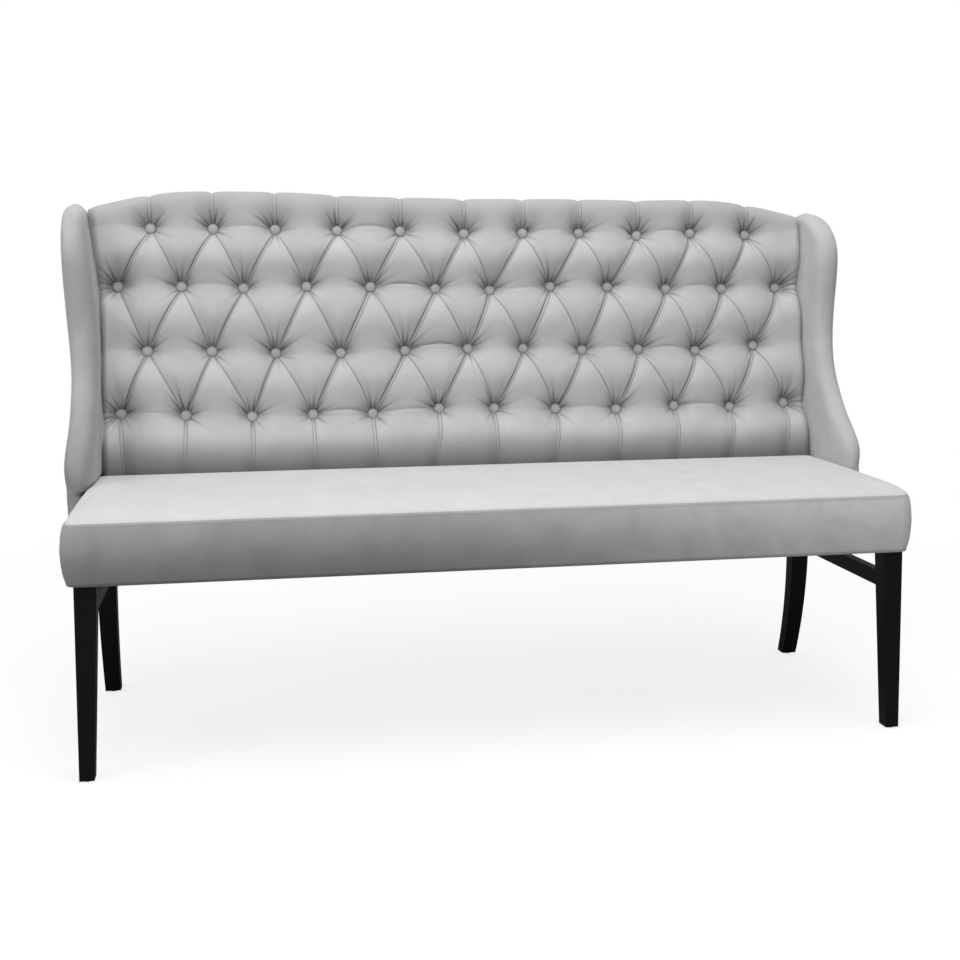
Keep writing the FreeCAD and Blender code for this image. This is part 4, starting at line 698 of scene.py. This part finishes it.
def wing(side, name):
    """A wing as level closed sections from the bottom up. A cloth simulation fills it out."""
    lift = WING_LIFT[side > 0]
    shoulder = WING_TOP_Z - WING_CAP + lift
    turn = np.radians(np.linspace(0, 90, 10))[1:]
    straight = np.concatenate([np.linspace(WING_FOOT_Z + 1, 472, 12), np.linspace(474, 496, 12),
                               np.linspace(500, shoulder, 84)])
    heights = np.concatenate([straight, shoulder + (WING_CAP - 0.5) * np.sin(turn)])
    roundings = np.concatenate([np.zeros_like(straight), 0.98 * (1 - np.cos(turn) ** 0.8)])
    points = np.array([wing_section(side, *place, lift) for place in zip(heights, roundings)]) * MM
    count, width = points.shape[:2]
    # Slight waves across the inner face and the nose where the cloth was pulled over the board
    spot = points / MM
    share = np.exp(-((spot[..., 2] - 660) / 60) ** 2) + 0.5 * np.exp(-((spot[..., 2] - 560) / 40) ** 2)
    wave = np.sin(spot[..., 2] / 9.5 + np.sin(spot[..., 1] / 31) * 2.2) * share * 0.55
    lane = np.zeros(width)
    lane[30:68] = np.sin(np.linspace(0, math.pi, 38)) ** 0.6
    points[..., 0] += -side * wave * lane * MM
    flat = np.concatenate([points.reshape(-1, 3), points[[0, -1]].mean(axis=1)])
    faces = grid_faces(count, width, round_columns=True).tolist()
    faces += fan(np.arange(width), count * width) + fan(np.arange(width) + (count - 1) * width, count * width + 1)
    # The rear edges and the foot beside the seat are tacked down
    held = np.zeros((count, width), bool)
    held[:, :3] = True
    held[:, width - 6:] = True
    held[:18] = True
    flat = swell(flat, faces, np.concatenate([held.ravel(), [True, False]]), 3.0, 3.0)
    level = flat[:count * width, 2].reshape(count, width) / MM
    # Painted shade, on the left wing only
    falloff_shade = np.append(wing_painted_shade(level).ravel(), [0.0, 0.0]) * (side < 0)
    piece = new_piece(name, flat, faces, WING_VELVET, [("painted_shade", falloff_shade)])
    where = "left" if side < 0 else "right"
    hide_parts("wing_cover_" + where, "wing_padding_" + where)


# Seat
# Radius of the rounding along the seam, and distances of the stitches, in mm
SHOULDER = 6
STITCH_STEP = 5.5
CORNER_STITCH_STEP = 6.5


def seat_top_grid():
    """The seat's top as a grid in mm. Its front edge bends back on a quarter circle at each corner, and the crown
    rises with 1 - exp of the distance from the edge, with a rounded shoulder along the seam."""
    corner = np.linspace(0, 1, 12)[1:]
    inner_half = SEAT_HALF - CORNER_RADIUS
    bend = inner_half + CORNER_RADIUS * np.sin(corner * math.pi / 2)
    across = np.concatenate([-bend[::-1], np.linspace(-inner_half, inner_half, 170), bend])
    past = np.clip(np.abs(across) - inner_half, 0, CORNER_RADIUS)
    front = SEAT_FRONT + CORNER_RADIUS - np.sqrt(CORNER_RADIUS ** 2 - past ** 2)
    share = np.concatenate([np.array([0, 0.6, 1.6, 3.0, 4.6, 6.5, 9.5, 14.0]) / 453, np.linspace(0.045, 1, 42)])
    x = np.broadcast_to(across, (len(share), len(across))).copy()
    y = front + (SEAT_REAR + 14 - front) * share[:, None]
    away_front = y - SEAT_FRONT
    away_side = SEAT_HALF - np.abs(x)
    rise = (1 - np.exp(-away_front / FRONT_EASE)) * (1 - np.exp(-away_side / SIDE_EASE))
    corner_share = np.clip(1 - np.hypot(away_front, away_side) / 200, 0, 1)
    z = SEAM_Z + (SEAT_CROWN - 2.5) * rise ** 0.9 - 1.5 * corner_share
    edge = np.clip(np.minimum(y - front, away_side), 0, SHOULDER)
    z += 2.0 - SHOULDER * (1 - np.sqrt(1 - (1 - edge / SHOULDER) ** 2))
    seeded = np.random.default_rng(3)
    for _ in range(9):
        middle_x, middle_y = seeded.uniform(-760, 760), seeded.uniform(-260, 60)
        z += seeded.uniform(-0.9, 0.9) * np.exp(-((x - middle_x) / 190) ** 2 - ((y - middle_y) / 85) ** 2) * rise
    return np.stack([x, y, z], axis=-1)


def seat_band_grid(top):
    """The band as a grid in mm from the seam down, round three sides of the top, with the path of its upper edge
    and the directions outward from it."""
    edge_path = np.concatenate([top[::-1, 0], top[0, 1:-1], top[:, -1]])[:, :2]
    tangent = np.gradient(edge_path, axis=0)
    outward = np.stack([tangent[:, 1], -tangent[:, 0]], axis=-1)
    outward /= np.linalg.norm(outward, axis=1, keepdims=True) + 1e-9
    levels = np.linspace(0, 1, 16)
    bulge = np.interp(levels, *BAND_BULGE)
    bulge_mm = 5.0 + 4.0 * outward[:, 0] ** 2 * (1 - soft_step(edge_path[:, 1], -190, -90))
    band = np.empty((len(levels), len(edge_path), 3))
    band[..., :2] = edge_path + outward * (bulge[:, None] * bulge_mm)[..., None]
    band[..., 2] = SEAM_Z + (SEAT_FOOT_Z + 0.5 - SEAM_Z) * levels[:, None]
    return band, edge_path, outward


def filled_out(grid, cap):
    """A grid in mm, pinned along its edges, blown up by simulation and turned to metres."""
    held = np.zeros(grid.shape[:2], bool)
    held[[0, -1]] = True
    held[:, [0, -1]] = True
    faces = grid_faces(*grid.shape[:2]).tolist()
    return swell(grid.reshape(-1, 3) * MM, faces, held, 2.0, cap).reshape(grid.shape)


def seat():
    """The seat's cover: its top, a band hanging from three edges of it, and the stitches of the seam."""
    top = seat_top_grid()
    band, edge_path, outward = seat_band_grid(top)
    seat_top(filled_out(top, 3.0))
    seat_band(filled_out(band, 1.5))
    seam_stitches(edge_path, outward)


def closed_with_back(outer, inner):
    """A closed skin from two equal grids: outer, inner and the four edges between them."""
    rows, width = outer.shape[:2]
    points = np.concatenate([outer.reshape(-1, 3), inner.reshape(-1, 3)])
    faces = grid_faces(rows, width).tolist()
    shift = rows * width
    faces += [[d + shift, c + shift, b + shift, a + shift] for a, b, c, d in grid_faces(rows, width)]
    index = np.arange(shift).reshape(rows, width)
    for path in (index[0], index[-1][::-1], index[::-1, 0], index[:, -1]):
        faces += [[a, a + shift, b + shift, b] for a, b in zip(path[:-1], path[1:])]
    return points, [list(map(int, face)) for face in faces]


def seat_top(grid):
    """Closes the seat's top with an underside a little inside it, at least 8 mm below the seam."""
    under = grid.copy()
    under[..., 2] = np.minimum((SEAM_Z - 8) * MM, under[..., 2] - 6 * MM)
    under[..., :2] *= 0.985
    points, faces = closed_with_back(grid, under)
    piece = new_piece("seat_cushion", points, faces, SEAT_VELVET)
    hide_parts("seat_top_cover", "seat_foam")


def seat_band(grid):
    """Closes the band with an inner side. Painted shade darkens it toward the left and the foot, and a thin
    painted shade runs along the seam at its upper edge."""
    inner = grid.copy()
    inner[..., 0] *= 0.986
    inner[..., 1] = np.where(inner[..., 1] < 0, inner[..., 1] * 0.97, inner[..., 1])
    points, faces = closed_with_back(grid, inner)
    down = SEAM_Z - points[:, 2] / MM
    # Painted shade: darker toward the left and the foot, and a thin line along the seam
    leftward = 1 - soft_step(points[:, 0], -0.3, 0.95)
    falloff_shade = leftward * (0.45 + 0.25 * soft_step(down, 5, 105))
    piece = new_piece("seat_band", points, faces, BAND_VELVET,
                      [("painted_shade", np.maximum(falloff_shade, rib(down, 0.55, 1.6)))])
    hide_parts("seat_band_cover")


def bead(middle, along, half_length, thickness):
    """The sixteen points of one stitch: four square rings along it, small at both ends."""
    along = np.array(along) / np.linalg.norm(along)
    other = np.cross(along, (0.3, 0.5, 0.8))
    other /= np.linalg.norm(other)
    third = np.cross(along, other)
    return [middle + along * place * half_length
            + (other * math.cos(turn) + third * math.sin(turn)) * thickness * size
            for place, size in ((-1, 0.15), (-0.5, 1.0), (0.5, 1.0), (1, 0.15))
            for turn in np.radians((45, 135, 225, 315))]


def seam_stitches(edge_path, outward):
    """Stitches along the top seam and up both front corners."""
    step = np.linalg.norm(np.diff(edge_path, axis=0), axis=1)
    run = np.concatenate([[0], np.cumsum(step)])
    beads = []
    for place in np.arange(8, run[-1] - 8, STITCH_STEP):
        x, y = (np.interp(place, run, edge_path[:, axis]) for axis in (0, 1))
        dx, dy = (np.interp(place, run, outward[:, axis]) for axis in (0, 1))
        beads.append(bead(np.array([x + dx * 0.9, y + dy * 0.9, SEAM_Z - 3.4]), (-dy, dx, 0), 1.7, 0.45))
    away = CORNER_RADIUS * (1 - math.sqrt(0.5))
    for side in (-1, 1):
        for z in np.arange(SEAT_FOOT_Z + 6, SEAM_Z - 8, CORNER_STITCH_STEP):
            bulge = BEAD_BULGE * np.interp((SEAM_Z - z) / (SEAM_Z - SEAT_FOOT_Z), *BAND_BULGE)
            corner = [side * (SEAT_HALF - away + bulge * 0.72), SEAT_FRONT + away - bulge * 0.5, z]
            beads.append(bead(np.array(corner), (side * 0.7, 0.7, 0.15), 1.9, 0.5))
    skin = grid_faces(4, 4, round_columns=True).tolist() + [[0, 1, 2, 3], [12, 13, 14, 15]]
    faces = [[corner + 16 * number for corner in face] for number in range(len(beads)) for face in skin]
    new_piece("seam_stitching", np.array(beads) * MM, faces, STITCH_THREAD)


# Cloth behind and below. Places of its edges in mm, as the frame has them
CLOTH_FOOT = -208.0
CLOTH_HALF = 792
CLOTH_BELOW_TOP = 13.5
CLOTH_CORNER = 415
DUST_LEFT, DUST_WIDTH = -784.5, 1569
DUST_FRONT, DUST_DEPTH = -315.5, 515.8
DUST_TOP = 367.2


def outside_back():
    """The plain cloth over the back's rear: flat along the rake, its top edge following the back's top line, with
    shallow waves of stretched cloth between its tacked edges."""
    share, across = np.meshgrid(np.linspace(0, 1, 61), np.linspace(-1, 1, 121), indexing="ij")
    top = np.minimum(top_line(across * CLOTH_HALF) - CLOTH_BELOW_TOP, BACK_TOP)
    along = CLOTH_FOOT + (top - CLOTH_FOOT) * share
    corner = np.where(across < 0, back_half_width(WING_TOP_Z, -1), back_half_width(WING_TOP_Z, 1)) - 1
    narrowing = np.clip((along - CLOTH_CORNER) / (top - CLOTH_CORNER), 0, 1)
    half = POST_OUTER - (POST_OUTER - corner) * narrowing
    x = across * half
    slack = np.clip(np.minimum.reduce([share, 1 - share, (1 - np.abs(across)) * 1.3]) * 4, 0, 1)
    wave = (np.sin(x / 74 + along / 160) + 0.6 * np.sin(x / 43 - along / 95 + 1.3)) * 0.5
    depth = BACK_REAR + 2.0 + slack * (0.9 + wave)
    outer = on_back(x, depth, along)
    inner = on_back(x, np.full_like(x, BACK_REAR + 0.4), along)
    points, faces = closed_with_back(outer, inner)
    piece = new_piece("outside_back_cloth", points, faces, WING_VELVET)
    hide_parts("back_outside_cover")


def dust_cloth():
    """Thin cloth stretched under the seat frame: it sags in each bay between tacked edges with the sine of its
    place across and along it."""
    along, across = np.meshgrid(np.linspace(0, 1, 30), np.linspace(0, 1, 90), indexing="ij")
    sag = 2.6 * np.sin(along * math.pi) * (0.75 + 0.25 * np.abs(np.sin(across * 3 * math.pi)))
    sag += 0.4 * np.sin(across * 61 + along * 9) * np.sin(along * math.pi)
    x = DUST_LEFT + DUST_WIDTH * across
    y = DUST_FRONT + DUST_DEPTH * along
    upper = np.stack([x, y, DUST_TOP - sag * np.sin(across * math.pi) ** 0.35], axis=-1)
    lower = upper - (0, 0, 0.7)
    points, faces = closed_with_back(lower * MM, upper * MM)
    piece = new_piece("dust_cloth", points, faces, DUST_CLOTH)
    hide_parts("seat_dust_cover")


# Hard pieces keep the frame's shapes
def finish_frame():
    """Gives each carried-over piece the material of its slot."""
    finishes = {"black_wood": BLACK_BEECH, "beech": RAW_BEECH, "dowel_beech": RAW_BEECH, "plywood": BIRCH_PLY,
                "webbing": WEBBING, "twine": TWINE, "zinc_steel": ZINC_STEEL, "glide_plastic": NYLON,
                "foam": FOAM, "velvet": WING_VELVET, "dust_cloth": DUST_CLOTH}
    for row in frame["record"]["subparts"]:
        node = frame["nodes"][row["node"]]
        node.data.materials.clear()
        # The rear rail shows below the cloth behind, and is lacquered as the legs are
        shown = row["node"] == "seat_rear_rail"
        node.data.materials.append(BLACK_BEECH if shown else finishes[row["material_slot"]])


finish_frame()
tufted_back()
covered_buttons()
wing(-1, "wing_left")
wing(1, "wing_right")
seat()
outside_back()
dust_cloth()


# Stage, light and camera
def studio_floor():
    """A pale floor that fades to white away from the bench."""
    floor_mesh = bpy.data.meshes.new("floor")
    floor_mesh.from_pydata([(-30, -30, 0), (30, -30, 0), (30, 30, 0), (-30, 30, 0)], [], [(0, 1, 2, 3)])
    floor = bpy.data.objects.new("floor", floor_mesh)
    bpy.context.scene.collection.objects.link(floor)
    material, tree, place = new_material("white_studio_floor")
    away = add(tree, "ShaderNodeVectorMath", [(0, place)], operation="LENGTH")
    fade = add(tree, "ShaderNodeMapRange", [("Value", away.outputs["Value"])], interpolation_type="SMOOTHSTEP",
               From_Min=1.5, From_Max=2.4)
    paper = add(tree, "ShaderNodeBsdfDiffuse", Color=linear("#909090"))
    glow = add(tree, "ShaderNodeEmission", Color=(1, 1, 1, 1), Strength=0.80)
    path = add(tree, "ShaderNodeLightPath")
    nothing = add(tree, "ShaderNodeEmission", Strength=0.0)
    lift = add(tree, "ShaderNodeMixShader", [(0, path.outputs["Is Camera Ray"]), (1, nothing.outputs["Emission"]),
                                             (2, glow.outputs["Emission"])])
    lit = add(tree, "ShaderNodeAddShader", [(0, paper.outputs["BSDF"]), (1, lift.outputs["Shader"])])
    clear = add(tree, "ShaderNodeBsdfTransparent")
    total = add(tree, "ShaderNodeMixShader", [(0, fade.outputs["Result"]), (1, lit.outputs["Shader"]),
                                              (2, clear.outputs["BSDF"])])
    add(tree, "ShaderNodeOutputMaterial", [("Surface", total.outputs["Shader"])])
    floor_mesh.materials.append(material)


def soft_sky():
    """Light from all round, brighter from above, that the camera sees as plain white."""
    world = bpy.data.worlds.new("studio")
    bpy.context.scene.world = world
    world.use_nodes = True
    tree = world.node_tree
    tree.nodes.clear()
    path = add(tree, "ShaderNodeLightPath")
    up = add(tree, "ShaderNodeSeparateXYZ", [("Vector", add(tree, "ShaderNodeTexCoord").outputs["Generated"])])
    bright = add(tree, "ShaderNodeMapRange", [("Value", up.outputs["Z"])], interpolation_type="SMOOTHSTEP",
                 To_Min=0.22, To_Max=0.50)
    ambient = add(tree, "ShaderNodeBackground", [("Strength", bright.outputs["Result"])], Color=(1, 1, 1, 1))
    white = add(tree, "ShaderNodeBackground", Color=(1, 1, 1, 1), Strength=1.0)
    mix = add(tree, "ShaderNodeMixShader", [(0, path.outputs["Is Camera Ray"]), (1, ambient.outputs["Background"]),
                                            (2, white.outputs["Background"])])
    add(tree, "ShaderNodeOutputWorld", [("Surface", mix.outputs["Shader"])])


def lamp(name, place, target, width, watts):
    """A soft square lamp at a place in metres, turned toward a target."""
    data = bpy.data.lights.new(name, "AREA")
    data.shape = "SQUARE"
    data.size = width
    data.energy = watts
    light = bpy.data.objects.new(name, data)
    light.location = place
    light.rotation_euler = (Vector(target) - Vector(place)).to_track_quat("-Z", "Y").to_euler()
    bpy.context.scene.collection.objects.link(light)


def camera():
    """The photograph's viewpoint: 48.7 mm lens, turned 9.75 degrees right and 8.8 degrees down."""
    yaw, pitch, roll = 0.1702, 0.1533, -0.0054
    ahead = Vector((math.sin(yaw) * math.cos(pitch), math.cos(yaw) * math.cos(pitch), -math.sin(pitch)))
    right = Vector((math.cos(yaw), -math.sin(yaw), 0))
    up = right.cross(ahead)
    tilted_right = right * math.cos(roll) + up * math.sin(roll)
    tilted_up = up * math.cos(roll) - right * math.sin(roll)
    data = bpy.data.cameras.new("camera")
    data.lens = 48.69
    data.sensor_width = 36
    data.clip_end = 100
    eye = bpy.data.objects.new("camera", data)
    turn = Matrix((tilted_right, tilted_up, -ahead)).transposed().to_4x4()
    eye.matrix_world = Matrix.Translation((-0.4579, -2.6544, 0.8995)) @ turn
    bpy.context.scene.collection.objects.link(eye)
    bpy.context.scene.camera = eye
    bpy.context.scene.view_settings.view_transform = "Standard"


studio_floor()
soft_sky()
lamp("overhead", (0.0, -0.9, 3.0), (0, 0, 0.4), 2.4, 54)
lamp("front_fill", (-3.0, -2.0, 1.5), (0, 0, 0.6), 1.4, 24)
camera()
